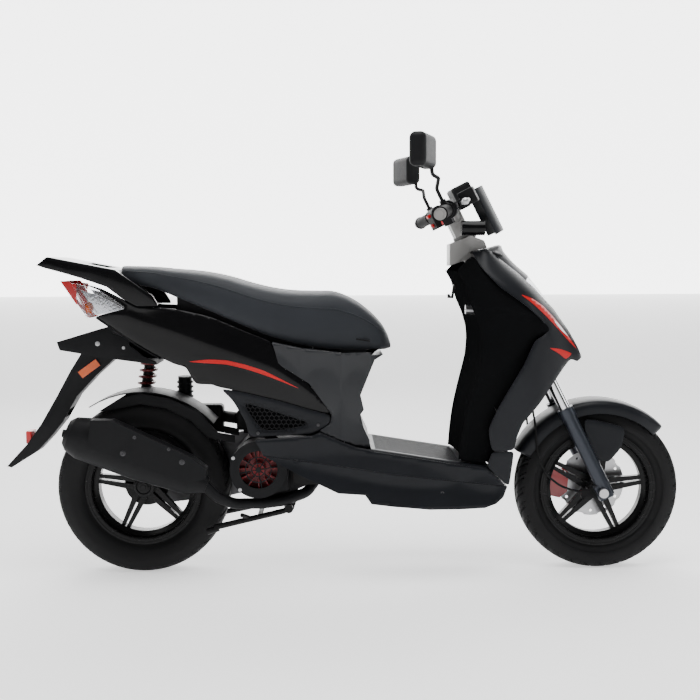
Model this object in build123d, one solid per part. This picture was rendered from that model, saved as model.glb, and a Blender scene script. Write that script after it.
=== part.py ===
"""Moped scooter, modelled piece by piece in millimetres.

Working frame while modelling: rear axle at x = 0, ground at z = 0, +X forward, +Y left, +Z up.
Every piece is moved by -ORIGIN_AHEAD along X when it is written, so that the finished
model has its origin on the ground at the middle of its length and width.
"""
from build123d import *
import os
from math import cos, hypot, radians, sin, sqrt, tan

os.makedirs("parts", exist_ok=True)

# ---------------------------------------------------------------- driving dimensions
WHEELBASE = 1290.0
FRONT_TYRE_R = 230.6
FRONT_TYRE_W = 110.0
REAR_TYRE_R = 244.6
REAR_TYRE_W = 130.0
RIM_SEAT_R = 152.4
RAKE = 26.5
LEG_FROM_STEERING = 38.0
AXLE_BEHIND_LEG = 11.0
BODY_HALF_W = 160.0
FLOOR_HALF_W = 160.0
SHIELD_HALF_W = 190.0
SEAT_HALF_W = 150.0
BAR_HALF_W = 345.0
ORIGIN_AHEAD = 567.2

# walls and clearances
PANEL_T = 3.0
SEAM = 0.5
RUN_FIT = 0.05
SEAT_FIT = 0.3
TYRE_SQUASH = 1.2

# ---------------------------------------------------------------- derived places
FRONT_X = WHEELBASE
FRONT_Z = FRONT_TYRE_R - TYRE_SQUASH
REAR_Z = REAR_TYRE_R - TYRE_SQUASH
SIN_R, COS_R = sin(radians(RAKE)), cos(radians(RAKE))
AXLE_FROM_STEERING = LEG_FROM_STEERING - AXLE_BEHIND_LEG
FORK = Plane(
    origin=(FRONT_X - AXLE_FROM_STEERING * COS_R, 0, FRONT_Z - AXLE_FROM_STEERING * SIN_R),
    x_dir=(COS_R, 0, SIN_R),
    z_dir=(-SIN_R, 0, COS_R),
)
FRONT_SHIFT = WHEELBASE - 1290.0


def front(points):
    """Side-view points that keep their distance to the front axle."""
    return [(x + FRONT_SHIFT, z) for x, z in points]


# ---------------------------------------------------------------- helpers
def side_solid(points, y_low, y_high):
    """A side-view outline (x, z) as a slab from y_low to y_high."""
    face = make_face(Polyline(*points, close=True))
    return Pos(0, y_high, 0) * extrude(Plane.XZ * face, amount=y_high - y_low)


def plan_solid(points, z_low, z_high):
    """A plan outline (x, y) as a slab from z_low to z_high."""
    return Pos(0, 0, z_low) * extrude(make_face(Polyline(*points, close=True)), amount=z_high - z_low)


def front_solid(points, x_low, x_high):
    """A front-view outline (y, z) as a slab from x_low to x_high."""
    face = make_face(Polyline(*points, close=True))
    return Pos(x_low, 0, 0) * extrude(Plane.YZ * face, amount=x_high - x_low)


def rod(p, q, radius):
    """A round bar between two points."""
    length = (Vector(q) - Vector(p)).length
    plane = Plane(origin=p, z_dir=Vector(q) - Vector(p))
    return plane * Cylinder(radius, length, align=(Align.CENTER, Align.CENTER, Align.MIN))


def tube_path(points, radius, bend=0.0):
    """A bent tube: straight runs joined by arcs of one bend radius."""
    bends = []
    for a, b, c in zip(points, points[1:], points[2:]):
        before, after = Vector(b) - Vector(a), Vector(c) - Vector(b)
        reach = 0.42 * min(before.length, after.length)
        longest = reach / tan(radians(before.get_angle(after)) / 2)
        bends.append(min(bend or 4 * radius, longest))
    path = FilletPolyline(*points, radius=bends)
    start = Plane(origin=points[0], z_dir=Vector(points[1]) - Vector(points[0]))
    return sweep(start * Circle(radius), path)


def fuse_all(shapes):
    total = shapes[0]
    for shape in shapes[1:]:
        total = total + shape
    return total


def cross_rod(x, z, y_low, y_high, radius):
    """A round bar across the machine."""
    return rod((x, y_low, z), (x, y_high, z), radius)


def turned(profile, x, z):
    """A (y, r) profile turned about a cross axis at (x, z)."""
    face = make_face(Polyline(*profile, close=True))
    return Pos(x, 0, z) * revolve(Plane.YZ * face, Axis.Y, 360)


def mirrored(shape):
    """The same piece on the other side of the machine."""
    return mirror(shape, Plane.XZ)


def both_sides(shape):
    return Compound(children=[*shape.solids(), *mirrored(shape).solids()])


def block(x, y, z, center):
    return Pos(*center) * Box(x, y, z)


def rounded_block(x, y, z, center, radius):
    box = Box(x, y, z)
    return Pos(*center) * fillet(box.edges(), radius)


def half_widths_to_plan(stations):
    """(x, half width) stations as a closed symmetric plan outline."""
    left = [(x, w) for x, w in stations]
    right = [(x, -w) for x, w in reversed(stations)]
    return left + right


def inset(stations, wall):
    return [(x, w - wall) for x, w in stations]


PARTS = {}


def keep(name, shape):
    PARTS[name] = shape


# ---------------------------------------------------------------- wheels
RIM_FLANGE = 12.0
FRONT_RIM_HALF_W = 43.0
REAR_RIM_HALF_W = 49.0
RIM_HOLE_R = 131.0
AXLE_R = 7.5
REAR_SHAFT_R = 8.0
HUB_R = 31.0
SPOKES = 5


def tyre(radius, width, rim_half_w, x, z):
    """An open-bead tyre, cut flat where it stands on the ground under load."""
    half = width / 2
    bead = rim_half_w - 5 - SEAT_FIT
    seat = RIM_SEAT_R + SEAT_FIT
    wall = 8.0
    crown = half * 0.45
    outer = [(bead, seat), (bead, seat + 13), (half - 7, seat + 28), (half, radius - 37),
             (half - 8, radius - 12),
             (crown, radius)]
    inner = [(bead - 12, seat), (bead - 9, seat + 13), (half - 7 - wall, seat + 32),
             (half - wall, radius - 37),
             (half - 8 - wall, radius - 19), (crown - 2, radius - wall)]
    right = outer + [(-y, r) for y, r in reversed(outer)]
    back = [(-y, r) for y, r in inner] + list(reversed(inner))
    ground = block(2 * radius, 2 * width, 2 * TYRE_SQUASH, (x, 0, -TYRE_SQUASH))
    return turned(right + back, x, z) - ground


def rim_barrel(half_w, x, z):
    seat = RIM_SEAT_R
    outer = [(half_w, seat + RIM_FLANGE), (half_w - 5, seat + RIM_FLANGE), (half_w - 5, seat),
             (half_w - 22, seat), (half_w - 28, seat - 14)]
    inner = [(half_w, seat - 5), (half_w - 22, seat - 7), (half_w - 30, RIM_HOLE_R)]
    return turned(outer + [(-y, r) for y, r in reversed(outer)] + [(-y, r) for y, r in inner]
                  + list(reversed(inner)), x, z)


def split_spoke(angle, x, z, half_depth):
    """Two slim bars that spread at the hub and meet at the rim."""
    bars = []
    for side in (-1, 1):
        a_in = radians(angle + side * 26)
        a_out = radians(angle + side * 3.2)
        p = (x + (HUB_R - 4) * cos(a_in), z + (HUB_R - 4) * sin(a_in))
        q = (x + (RIM_HOLE_R + 4) * cos(a_out), z + (RIM_HOLE_R + 4) * sin(a_out))
        run = hypot(q[0] - p[0], q[1] - p[1])
        nx, nz = -(q[1] - p[1]) / run, (q[0] - p[0]) / run
        w_in, w_out = 8.5, 5.5
        outline = [(p[0] + nx * w_in, p[1] + nz * w_in), (q[0] + nx * w_out, q[1] + nz * w_out),
                   (q[0] - nx * w_out, q[1] - nz * w_out), (p[0] - nx * w_in, p[1] - nz * w_in)]
        bars.append(side_solid(outline, -half_depth, half_depth))
    return bars


def cast_wheel(half_w, x, z, first_angle, hub_low, hub_high, bore_r, extra=()):
    shapes = [rim_barrel(half_w, x, z), cross_rod(x, z, hub_low, hub_high, HUB_R), *extra]
    for n in range(SPOKES):
        shapes += split_spoke(first_angle + n * 360 / SPOKES, x, z, 10.0)
    wheel = fuse_all(shapes)
    return wheel - cross_rod(x, z, hub_low - 1, hub_high + 1, bore_r)


FRONT_HUB_HALF = 48.0
DISC_R = 96.0
DISC_T = 4.0
DISC_Y = FRONT_HUB_HALF + DISC_T / 2 + SEAT_FIT
REAR_DRUM_R = 64.0
REAR_HUB_LOW, REAR_HUB_HIGH = -42.0, 60.0
CASE_INNER_Y = REAR_TYRE_W / 2 + 6.0

keep("front_tyre", tyre(FRONT_TYRE_R, FRONT_TYRE_W, FRONT_RIM_HALF_W, FRONT_X, FRONT_Z))
keep("front_rim", cast_wheel(FRONT_RIM_HALF_W, FRONT_X, FRONT_Z, 8, -FRONT_HUB_HALF, FRONT_HUB_HALF,
                             AXLE_R + RUN_FIT))
keep("rear_tyre", tyre(REAR_TYRE_R, REAR_TYRE_W, REAR_RIM_HALF_W, 0, REAR_Z))
rear_drum = cross_rod(0, REAR_Z, 18, REAR_HUB_HIGH, REAR_DRUM_R)
rear_wheel = cast_wheel(REAR_RIM_HALF_W, 0, REAR_Z, 28, REAR_HUB_LOW, REAR_HUB_HIGH,
                        REAR_SHAFT_R + SEAT_FIT, [rear_drum])
rear_shaft = cross_rod(0, REAR_Z, REAR_HUB_LOW - 16, CASE_INNER_Y + 34, REAR_SHAFT_R)
rear_nut = cross_rod(0, REAR_Z, REAR_HUB_LOW - 13, REAR_HUB_LOW - SEAT_FIT, 14.0)
keep("rear_rim", Compound(children=[*rear_wheel.solids(), *(rear_shaft + rear_nut).solids()]))

disc = cross_rod(FRONT_X, FRONT_Z, DISC_Y - DISC_T / 2, DISC_Y + DISC_T / 2, DISC_R)
disc -= cross_rod(FRONT_X, FRONT_Z, DISC_Y - 5, DISC_Y + 5, 26.0)
for n in range(12):
    a = radians(n * 30)
    disc -= cross_rod(FRONT_X + 82 * cos(a), FRONT_Z + 82 * sin(a), DISC_Y - 5, DISC_Y + 5, 4.0)
for n in range(10):
    a = radians(n * 36)
    disc -= cross_rod(FRONT_X + (DISC_R + 16) * cos(a), FRONT_Z + (DISC_R + 16) * sin(a),
                      DISC_Y - 5, DISC_Y + 5, 20.0)
keep("brake_disc", disc)

# ---------------------------------------------------------------- front fork (on the FORK plane)
LEG_Y = 84.0
STANCHION_R = 15.5
LOWER_R = 20.5
LOWER_TOP = 258.0
STANCHION_IN = 176.0
YOKE_Z = 405.0
YOKE_T = 30.0
STEM_R = 17.0
STEM_TOP = 748.0
HEAD_LOW, HEAD_HIGH = 470.0, 730.0
HEAD_R = 27.0
AXLE_HALF = LEG_Y + LOWER_R + 6


def on_fork(shape):
    return FORK * shape


def fork_rod(x, y, z_low, z_high, radius):
    bar = Cylinder(radius, z_high - z_low, align=(Align.CENTER, Align.CENTER, Align.MIN))
    return on_fork(Pos(x, y, z_low) * bar)


def fork_point(x, y, z):
    point = FORK.from_local_coords(Vector(x, y, z))
    return (point.X, point.Y, point.Z)


def lower_leg(side):
    y = side * LEG_Y
    leg = fork_rod(LEG_FROM_STEERING, y, -18, LOWER_TOP, LOWER_R)
    leg += fork_rod(LEG_FROM_STEERING, y, LOWER_TOP - 28, LOWER_TOP, LOWER_R + 2.5)
    leg += on_fork(Pos(LEG_FROM_STEERING - 6, y, 0) * Box(40, 34, 44))
    leg -= fork_rod(LEG_FROM_STEERING, y, LOWER_TOP - STANCHION_IN - 68, LOWER_TOP + 1, STANCHION_R + RUN_FIT)
    leg -= cross_rod(FRONT_X, FRONT_Z, y - 40, y + 40, AXLE_R + RUN_FIT)
    return leg


keep("fork_lowers", Compound(children=[*lower_leg(-1).solids(), *lower_leg(1).solids()]))
stanchion_right = fork_rod(LEG_FROM_STEERING, -LEG_Y, LOWER_TOP - STANCHION_IN, YOKE_Z + YOKE_T / 2 + 8,
                           STANCHION_R)
keep("stanchions", both_sides(stanchion_right))

axle = cross_rod(FRONT_X, FRONT_Z, -AXLE_HALF, AXLE_HALF, AXLE_R)
axle += cross_rod(FRONT_X, FRONT_Z, -AXLE_HALF - 9, -LEG_Y - LOWER_R - SEAT_FIT, 13.0)
axle += cross_rod(FRONT_X, FRONT_Z, LEG_Y + LOWER_R + SEAT_FIT, AXLE_HALF + 7, 12.0)
keep("front_axle", axle)

yoke = on_fork(Pos(LEG_FROM_STEERING / 2, 0, YOKE_Z) * Box(LEG_FROM_STEERING + 44, 2 * LEG_Y, YOKE_T))
for side in (-1, 1):
    yoke += fork_rod(LEG_FROM_STEERING, side * LEG_Y, YOKE_Z - YOKE_T / 2, YOKE_Z + YOKE_T / 2,
                     STANCHION_R + 9)
yoke += fork_rod(0, 0, YOKE_Z - YOKE_T / 2, STEM_TOP, STEM_R)
yoke += fork_rod(0, 0, YOKE_Z, HEAD_LOW - SEAT_FIT, STEM_R + 8)
for side in (-1, 1):
    yoke -= fork_rod(LEG_FROM_STEERING, side * LEG_Y, YOKE_Z - 30, YOKE_Z + 40, STANCHION_R + RUN_FIT)
keep("steering_stem", yoke)

# front fender: a sprung arc over the tyre, its side skirts and the bracket plates at the fork legs
FENDER_IN_R = FRONT_TYRE_R + 15.8
FENDER_T = 3.0
FENDER_HALF_W = LEG_Y - LOWER_R - 3.0
FENDER_FROM, FENDER_TO = 43.0, 156.0


def wheel_arc(x, z, r_in, r_out, a_from, a_to, half_w, steps=12):
    """A band about a wheel axis between two angles, straight across its width."""
    angles = [radians(a_from + (a_to - a_from) * n / steps) for n in range(steps + 1)]
    outer = [(x + r_out * cos(a), z + r_out * sin(a)) for a in angles]
    inner = [(x + r_in * cos(a), z + r_in * sin(a)) for a in reversed(angles)]
    return side_solid(outer + inner, -half_w, half_w)


fender = wheel_arc(FRONT_X, FRONT_Z, FENDER_IN_R, FENDER_IN_R + FENDER_T + 8, FENDER_FROM, FENDER_TO,
                   FENDER_HALF_W)
fender -= wheel_arc(FRONT_X, FRONT_Z, FENDER_IN_R - 1, FENDER_IN_R + 8, FENDER_FROM - 1, FENDER_TO + 1,
                    FENDER_HALF_W - FENDER_T)
skirt = wheel_arc(FRONT_X, FRONT_Z, FENDER_IN_R - 29, FENDER_IN_R + 3, 55, 148, FENDER_HALF_W)
skirt -= wheel_arc(FRONT_X, FRONT_Z, FENDER_IN_R - 37, FENDER_IN_R + 4, 50, 150, FENDER_HALF_W - FENDER_T)
fender += skirt
bracket_outline = front([(1232, 440), (1362, 412), (1350, 352), (1312, 306), (1262, 322)])
plates = side_solid(bracket_outline, FENDER_HALF_W - FENDER_T, FENDER_HALF_W + 3)
plates = fuse_all([fender, plates, mirrored(plates)])
for side in (-1, 1):
    plates -= fork_rod(LEG_FROM_STEERING, side * LEG_Y, -60, 330, LOWER_R + SEAT_FIT)
    plates -= fork_rod(LEG_FROM_STEERING, side * LEG_Y, LOWER_TOP - 30, 330, LOWER_R + 3)
keep("front_fender", plates.solids().sort_by(SortBy.VOLUME)[-1])

# caliper behind the left leg, gripping the disc
caliper_outline = front([(1162, 196), (1196, 188), (1218, 206), (1222, 262), (1206, 276), (1170, 268),
                         (1158, 236)])
caliper = side_solid(caliper_outline, DISC_Y - 15, DISC_Y + 21)
caliper -= cross_rod(FRONT_X, FRONT_Z, DISC_Y - DISC_T / 2 - 1, DISC_Y + DISC_T / 2 + 1, DISC_R + 1.5)
hanger_outline = front([(1206, 222), (1300, 238), (1300, 268), (1206, 262)])
hanger = side_solid(hanger_outline, DISC_Y + 6, DISC_Y + 13)
hanger -= fork_rod(LEG_FROM_STEERING, LEG_Y, -60, 330, LOWER_R + SEAT_FIT)
hanger -= on_fork(Pos(LEG_FROM_STEERING - 6, LEG_Y, 0) * Box(40 + 0.6, 34 + 0.6, 44 + 0.6))
hanger -= cross_rod(FRONT_X, FRONT_Z, 0, LEG_Y, 16)
caliper = (caliper + hanger).solids().sort_by(SortBy.VOLUME)[-1]
keep("brake_caliper", caliper)

# cable to the speed sensor and brake hose, clipped to the right and left legs
CABLE_R = 3.0


def cable(points, radius):
    """A held cable: straight runs joined by arcs of 0.45 of the shorter run."""
    corners = []
    for a, b, c in zip(points, points[1:], points[2:]):
        before, after = Vector(b) - Vector(a), Vector(c) - Vector(b)
        turn = radians(before.get_angle(after))
        corners.append(0.45 * min(before.length, after.length) / tan(turn / 2))
    path = FilletPolyline(*points, radius=corners)
    start = Plane(origin=points[0], z_dir=Vector(points[1]) - Vector(points[0]))
    return sweep(start * Circle(radius), path)


SPEED_CABLE = [(1094, -64, 500), (1098, -66, 460), (1106, -70, 412), (1108, -72, 362),
               (1118, -72, 312), (1142, -70, 270), (1180, -66, 240), (1224, -60, 226), (1252, -58, 222)]
BRAKE_HOSE = [(1096, 66, 500), (1098, 68, 460), (1106, 74, 410), (1112, 78, 360),
              (1128, 80, 318), (1156, 78, 286), (1176, 72, 272)]
speed_cable = cable([(x + FRONT_SHIFT, y, z) for x, y, z in SPEED_CABLE], CABLE_R)
brake_hose = cable([(x + FRONT_SHIFT, y, z) for x, y, z in BRAKE_HOSE], CABLE_R)
speed_drive = cross_rod(FRONT_X, FRONT_Z, -FRONT_HUB_HALF - 14, -FRONT_HUB_HALF - SEAT_FIT, 27.0)
speed_drive += block(46, 13.7, 22, (FRONT_X - 28, -FRONT_HUB_HALF - 7.15, FRONT_Z - 10))
speed_drive -= cross_rod(FRONT_X, FRONT_Z, -FRONT_HUB_HALF - 20, -FRONT_HUB_HALF + 2, AXLE_R + RUN_FIT)
speed_drive -= speed_cable
keep("front_cables", Compound(children=[*speed_cable.solids(), *brake_hose.solids(), *speed_drive.solids()]))

# ---------------------------------------------------------------- engine, transmission, exhaust
ENGINE_PIVOT = (440.0, 275.0)
PIVOT_PIN_R = 8.0
CRANK = (331.0, 307.0)
CRANK_R = 12.0
CASE_LOW_Y, CASE_HIGH_Y = -62.0, 70.0
FAN_R = 58.0
SHROUD_R = 79.0
SHROUD_LOW_Y = -142.0
STAND_PIVOT = (412.0, 187.0)
STAND_PIN_R = 7.0
TRANS_LOW_Y, TRANS_HIGH_Y = CASE_INNER_Y, 148.0

case_outline = [(262, 250), (262, 350), (300, 385), (372, 392), (400, 372), (520, 366), (532, 300),
                (470, 252),
                (430, 236), (400, 205), (300, 222)]
engine = side_solid(case_outline, CASE_LOW_Y, CASE_HIGH_Y)
engine = fillet(engine.edges().filter_by(Axis.Y), 10)
stand_lug = cross_rod(*STAND_PIVOT, -50, 50,
                      15) + side_solid([(395, 190), (429, 190), (440, 250), (385, 250)], -50, 50)
engine += stand_lug
head = side_solid([(470, 262), (545, 285), (540, 368), (470, 366)], -48, 48)
for n in range(5):
    x = 478 + n * 11
    engine -= block(5, 140, 30, (x, CASE_LOW_Y, 366))
engine += head
hanger_lug = side_solid([(415, 262), (465, 262), (465, 300), (415, 300)], -70, CASE_HIGH_Y)
engine += hanger_lug
engine -= cross_rod(*ENGINE_PIVOT, -80, 80, PIVOT_PIN_R + RUN_FIT)
engine -= cross_rod(*CRANK, -80, 80, CRANK_R + RUN_FIT)
engine -= cross_rod(*STAND_PIVOT, -60, 60, STAND_PIN_R + RUN_FIT)
keep("engine_case", engine.solids().sort_by(SortBy.VOLUME)[-1])

trans_outline = [(-52, 200), (-66, 243), (-48, 296), (10, 320), (140, 346), (270, 384), (331, 392),
                 (392, 366),
                 (414, 310), (402, 252), (352, 222), (240, 196), (60, 176), (-10, 176)]
trans = side_solid(trans_outline, TRANS_LOW_Y, TRANS_HIGH_Y)
trans = fillet(trans.edges().filter_by(Axis.Y), 9)
trans -= cross_rod(*CRANK, TRANS_LOW_Y - 1, 122, CRANK_R + RUN_FIT)
trans -= cross_rod(*CRANK, 82, 138, 56)
trans -= cross_rod(0, REAR_Z, TRANS_LOW_Y - 1, CASE_INNER_Y + 36, REAR_SHAFT_R + RUN_FIT)
KICK_SHAFT = (262.0, 262.0)
trans -= cross_rod(*KICK_SHAFT, 110, TRANS_HIGH_Y + 1, 8 + RUN_FIT)
SHOCK_Y = 101.0
SHOCK_LOW = (-44.0, 322.0)
trans += side_solid([(-62, 322), (-66, 290), (-20, 290), (-26, 322)], SHOCK_Y + 14, SHOCK_Y + 22)
trans += side_solid([(-62, 322), (-66, 290), (-20, 290), (-26, 322)], SHOCK_Y - 22, SHOCK_Y - 14)
trans += cross_rod(*SHOCK_LOW, SHOCK_Y - 22, SHOCK_Y + 22, 5.0)
joined = cross_rod(*SHOCK_LOW, SHOCK_Y + 14, SHOCK_Y + 22, 18) + cross_rod(*SHOCK_LOW, SHOCK_Y - 22,
                                                                           SHOCK_Y - 14, 18)
trans += joined
trans -= cross_rod(*SHOCK_LOW, SHOCK_Y - 13.9, SHOCK_Y + 13.9, 30) - cross_rod(
    *SHOCK_LOW, SHOCK_Y - 13.9, SHOCK_Y + 13.9, 5.0)
trans = trans - side_solid([(380, 150), (480, 150), (480, 214), (404, 214)], TRANS_LOW_Y - 1, 120)
keep("transmission_case", trans.solids().sort_by(SortBy.VOLUME)[-1])

kick = cross_rod(*KICK_SHAFT, 114, TRANS_HIGH_Y + 14, 8.0)
kick += side_solid([(250, 254), (274, 254), (282, 276), (150, 306), (136, 290)], TRANS_HIGH_Y + 2,
                   TRANS_HIGH_Y + 12)
kick += cross_rod(144, 298, TRANS_HIGH_Y + 2, TRANS_HIGH_Y + 50, 8.0)
keep("kick_lever", kick)

shroud = cross_rod(*CRANK, SHROUD_LOW_Y, CASE_LOW_Y - SEAT_FIT, SHROUD_R)
shroud += side_solid([(331, 386), (400, 372), (412, 366), (412, 246), (331, 228)], -116,
                     CASE_LOW_Y - SEAT_FIT)
shroud += side_solid([(400, 372), (506, 352), (520, 306), (400, 306)], -70, CASE_LOW_Y - SEAT_FIT)
shroud -= cross_rod(*CRANK, SHROUD_LOW_Y + PANEL_T, CASE_LOW_Y + 1, SHROUD_R - PANEL_T - 1)
shroud -= side_solid([(331, 382), (398, 369), (409, 363), (409, 250), (331, 232)], -113, CASE_LOW_Y + 1)
shroud -= side_solid([(398, 368), (503, 349), (516, 309), (398, 309)], -67, CASE_LOW_Y + 1)
GRILLE_R = 52.0
window = cross_rod(*CRANK, SHROUD_LOW_Y - 1, SHROUD_LOW_Y + PANEL_T + 1, GRILLE_R)
shroud -= window
for r in (18.0, 35.0):
    ring = cross_rod(*CRANK, SHROUD_LOW_Y, SHROUD_LOW_Y + PANEL_T, r + 1.5)
    shroud += ring - cross_rod(*CRANK, SHROUD_LOW_Y - 1, SHROUD_LOW_Y + PANEL_T + 1, r - 1.5)
for n in range(8):
    a = radians(n * 45 + 10)
    p = (CRANK[0] + 6 * cos(a), SHROUD_LOW_Y + 1.5, CRANK[1] + 6 * sin(a))
    q = (CRANK[0] + (GRILLE_R + 1) * cos(a), SHROUD_LOW_Y + 1.5, CRANK[1] + (GRILLE_R + 1) * sin(a))
    shroud += rod(p, q, 1.5)
shroud += cross_rod(*CRANK, SHROUD_LOW_Y, SHROUD_LOW_Y + PANEL_T, 8)
shroud -= side_solid([(408, 240), (470, 240), (470, 305.5), (408, 305.5)], -80, -60)
keep("fan_cover", shroud.solids().sort_by(SortBy.VOLUME)[-1])

fan = cross_rod(*CRANK, -96, -92, FAN_R)
for n in range(12):
    blade = block(24, 30, 3, (CRANK[0] + 42, -110, CRANK[1]))
    fan += blade.rotate(Axis((CRANK[0], 0, CRANK[1]), (0, 1, 0)), n * 30)
fan += cross_rod(*CRANK, -128, -92, 18)
shaft = cross_rod(*CRANK, -92 + SEAT_FIT, 120, CRANK_R)
pulley = cross_rod(*CRANK, 88, 96, 52) + cross_rod(*CRANK, 96, 118, 22)
keep("cooling_fan", Compound(children=[*fan.solids(), *(shaft + pulley).solids()]))


def oval(x, y, z, wide, high, along):
    """An oval section for lofts, square to the direction along."""
    plane = Plane(origin=(x, y, z), x_dir=(0, 1, 0), z_dir=along)
    return plane * Ellipse(wide / 2, high / 2)


MUFFLER_Y = -132.0
MUFFLER_REAR, MUFFLER_FRONT = (-150.0, 397.0), (158.0, 276.0)
run_x, run_z = MUFFLER_FRONT[0] - MUFFLER_REAR[0], MUFFLER_FRONT[1] - MUFFLER_REAR[1]
run = hypot(run_x, run_z)
along = (run_x / run, 0, run_z / run)


def muffler_station(share, wide, high):
    return oval(MUFFLER_REAR[0] + run_x * share, MUFFLER_Y, MUFFLER_REAR[1] + run_z * share, wide, high,
                along)


CAN_STATIONS = [(-0.14, 60, 70), (-0.1, 82, 98), (0.0, 88, 120), (0.5, 86, 116), (0.95, 74, 90),
                (1.1, 40, 44)]
CAN_T = 2.0


def can_body(grow):
    """The muffler can, grown or shrunk evenly in section."""
    return loft([muffler_station(s, w + 2 * grow, h + 2 * grow) for s, w, h in CAN_STATIONS], ruled=True)


def can_hollow():
    stations = [(0.95 * s - 0.01, w - 2 * CAN_T, h - 2 * CAN_T) for s, w, h in CAN_STATIONS[1:-1]]
    return loft([muffler_station(*station) for station in stations], ruled=True)


can = can_body(0)
outlet = rod((-178, MUFFLER_Y - 10, 408), (-202, MUFFLER_Y - 10, 412), 11)
HEADER_R = 15.0
header_path = [(180, MUFFLER_Y, 267), (215, -124, 228), (262, -105, 206), (340, -92, 204), (400, -84, 210),
               (462, -48, 226), (492, -10, 262)]
header = tube_path(header_path, HEADER_R) - PARTS["engine_case"]
header = header.solids().sort_by(SortBy.VOLUME)[-1]
pipe_core = tube_path(header_path[1:-1], HEADER_R - 2)
muffler = fuse_all([can, outlet, header]) - can_hollow() - pipe_core
shield_outline = [(-118, 452), (-60, 452), (150, 352), (194, 318), (188, 288), (130, 282), (-108, 372),
                  (-126, 392)]
shield = side_solid(shield_outline, MUFFLER_Y - 50, MUFFLER_Y - 6)
shield -= can_body(SEAT_FIT)
shield = shield.solids().sort_by(SortBy.VOLUME)[-1]
keep("muffler", Compound(children=[muffler.solids().sort_by(SortBy.VOLUME)[-1], shield]))

HUGGER_R = REAR_TYRE_R + 25.8
HUGGER_HALF_W = CASE_INNER_Y - SEAT_FIT
hugger = wheel_arc(0, REAR_Z, HUGGER_R, HUGGER_R + PANEL_T, 42, 122, HUGGER_HALF_W)
hugger_side = [(-118, 462), (-60, 498), (0, 512), (80, 498), (160, 462), (214, 402), (262, 392), (262, 372),
               (186, 386), (140, 434), (70, 470), (0, 482), (-60, 470)]
for y_low in (-HUGGER_HALF_W, HUGGER_HALF_W - PANEL_T):
    hugger += side_solid(hugger_side, y_low, y_low + PANEL_T)
keep("hugger", hugger)

# air box over the transmission, its bellows and the carburettor, on the left of the engine
air_box = rounded_block(190, 58, 74, (120, 112, 424), 12)
air_box -= rounded_block(182, 50, 66, (120, 112, 424), 8)
air_box -= cross_rod(0, REAR_Z, 60, HUGGER_HALF_W + SEAT_FIT, HUGGER_R + PANEL_T + 1)
intake = rod((216, 108, 424), (262, 60, 424), 17) - rounded_block(190, 58, 74, (120, 112, 424), 12)
carburettor = rounded_block(64, 60, 56, (292, 36, 424), 8)
bellows = rod((104, 96, 461.3), (104, 90, 545), 20)
for z in (472, 486, 500, 514, 528):
    bellows += Pos(104, 95, z) * Cylinder(24, 5)
intake -= carburettor
mount_leg = block(26, 30, 396 - 386, (292, 36, 391))
carburettor += mount_leg
carburettor -= engine
keep("air_box", Compound(children=[air_box.solids().sort_by(SortBy.VOLUME)[-1], *bellows.solids(),
                                   intake.solids().sort_by(SortBy.VOLUME)[-1],
                                   carburettor.solids().sort_by(SortBy.VOLUME)[-1]]))

# centre stand, folded back under the engine
STAND_LEG_Y = 84.0
STAND_FOOT = (204.0, 138.0)
stand = cross_rod(*STAND_PIVOT, -STAND_LEG_Y - 8, STAND_LEG_Y + 8, STAND_PIN_R)
for side in (-1, 1):
    y = side * STAND_LEG_Y
    knee = (396.0, y, 180.0)
    foot = (STAND_FOOT[0], y + side * 14, STAND_FOOT[1])
    stand += rod((STAND_PIVOT[0], y, STAND_PIVOT[1]), knee, 8) + Pos(*knee) * Sphere(8) + rod(knee, foot, 8)
    stand += cross_rod(*STAND_PIVOT, min(y - 8, y + 8), max(y - 8, y + 8), 12)
    stand += rod((foot[0] - 20, foot[1], foot[2] - 12), (foot[0] + 12, foot[1], foot[2] - 2), 9)
brace_x = 330.0
brace_z = 180 + (STAND_FOOT[1] - 180) * (396 - brace_x) / (396 - STAND_FOOT[0])
stand += cross_rod(brace_x, brace_z, -STAND_LEG_Y, STAND_LEG_Y, 7)
stand += rod((300, -STAND_LEG_Y - 4, 163), (282, -STAND_LEG_Y - 30, 176), 6)
keep("centre_stand", stand)

# left rear shock absorber: eye and cylinder above, rod and lower eye below, spring between
SHOCK_TOP = (12.0, 652.0)
shock_run = hypot(SHOCK_TOP[0] - SHOCK_LOW[0], SHOCK_TOP[1] - SHOCK_LOW[1])
shock_dir = ((SHOCK_TOP[0] - SHOCK_LOW[0]) / shock_run, 0, (SHOCK_TOP[1] - SHOCK_LOW[1]) / shock_run)
SHOCK = Plane(origin=(SHOCK_LOW[0], SHOCK_Y, SHOCK_LOW[1]), x_dir=(shock_dir[2], 0, -shock_dir[0]),
              z_dir=shock_dir)
EYE_R, EYE_HALF = 14.0, 12.0
PIN_R = 5.0


def shock_barrel(z_low, z_high, radius):
    bar = Cylinder(radius, z_high - z_low, align=(Align.CENTER, Align.CENTER, Align.MIN))
    return SHOCK * (Pos(0, 0, z_low) * bar)


upper = cross_rod(*SHOCK_TOP, SHOCK_Y - EYE_HALF, SHOCK_Y + EYE_HALF, EYE_R)
upper += shock_barrel(shock_run - 46, shock_run - 8, 13) + shock_barrel(shock_run - 52, shock_run - 46, 26)
upper += shock_barrel(150, shock_run - 46, 15)
upper -= cross_rod(*SHOCK_TOP, SHOCK_Y - 20, SHOCK_Y + 20, PIN_R + RUN_FIT)
upper -= shock_barrel(149, shock_run - 60, 8 + RUN_FIT)
keep("shock_upper", upper)
OPEN_PIVOT_GAP = 1.2
lower = cross_rod(*SHOCK_LOW, SHOCK_Y - EYE_HALF, SHOCK_Y + EYE_HALF, EYE_R)
lower += shock_barrel(8, 40, 12) + shock_barrel(34, 40, 26) + shock_barrel(40, 182, 8)
lower -= cross_rod(*SHOCK_LOW, SHOCK_Y - 20, SHOCK_Y + 20, PIN_R + OPEN_PIVOT_GAP)
keep("shock_lower", lower)
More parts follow.
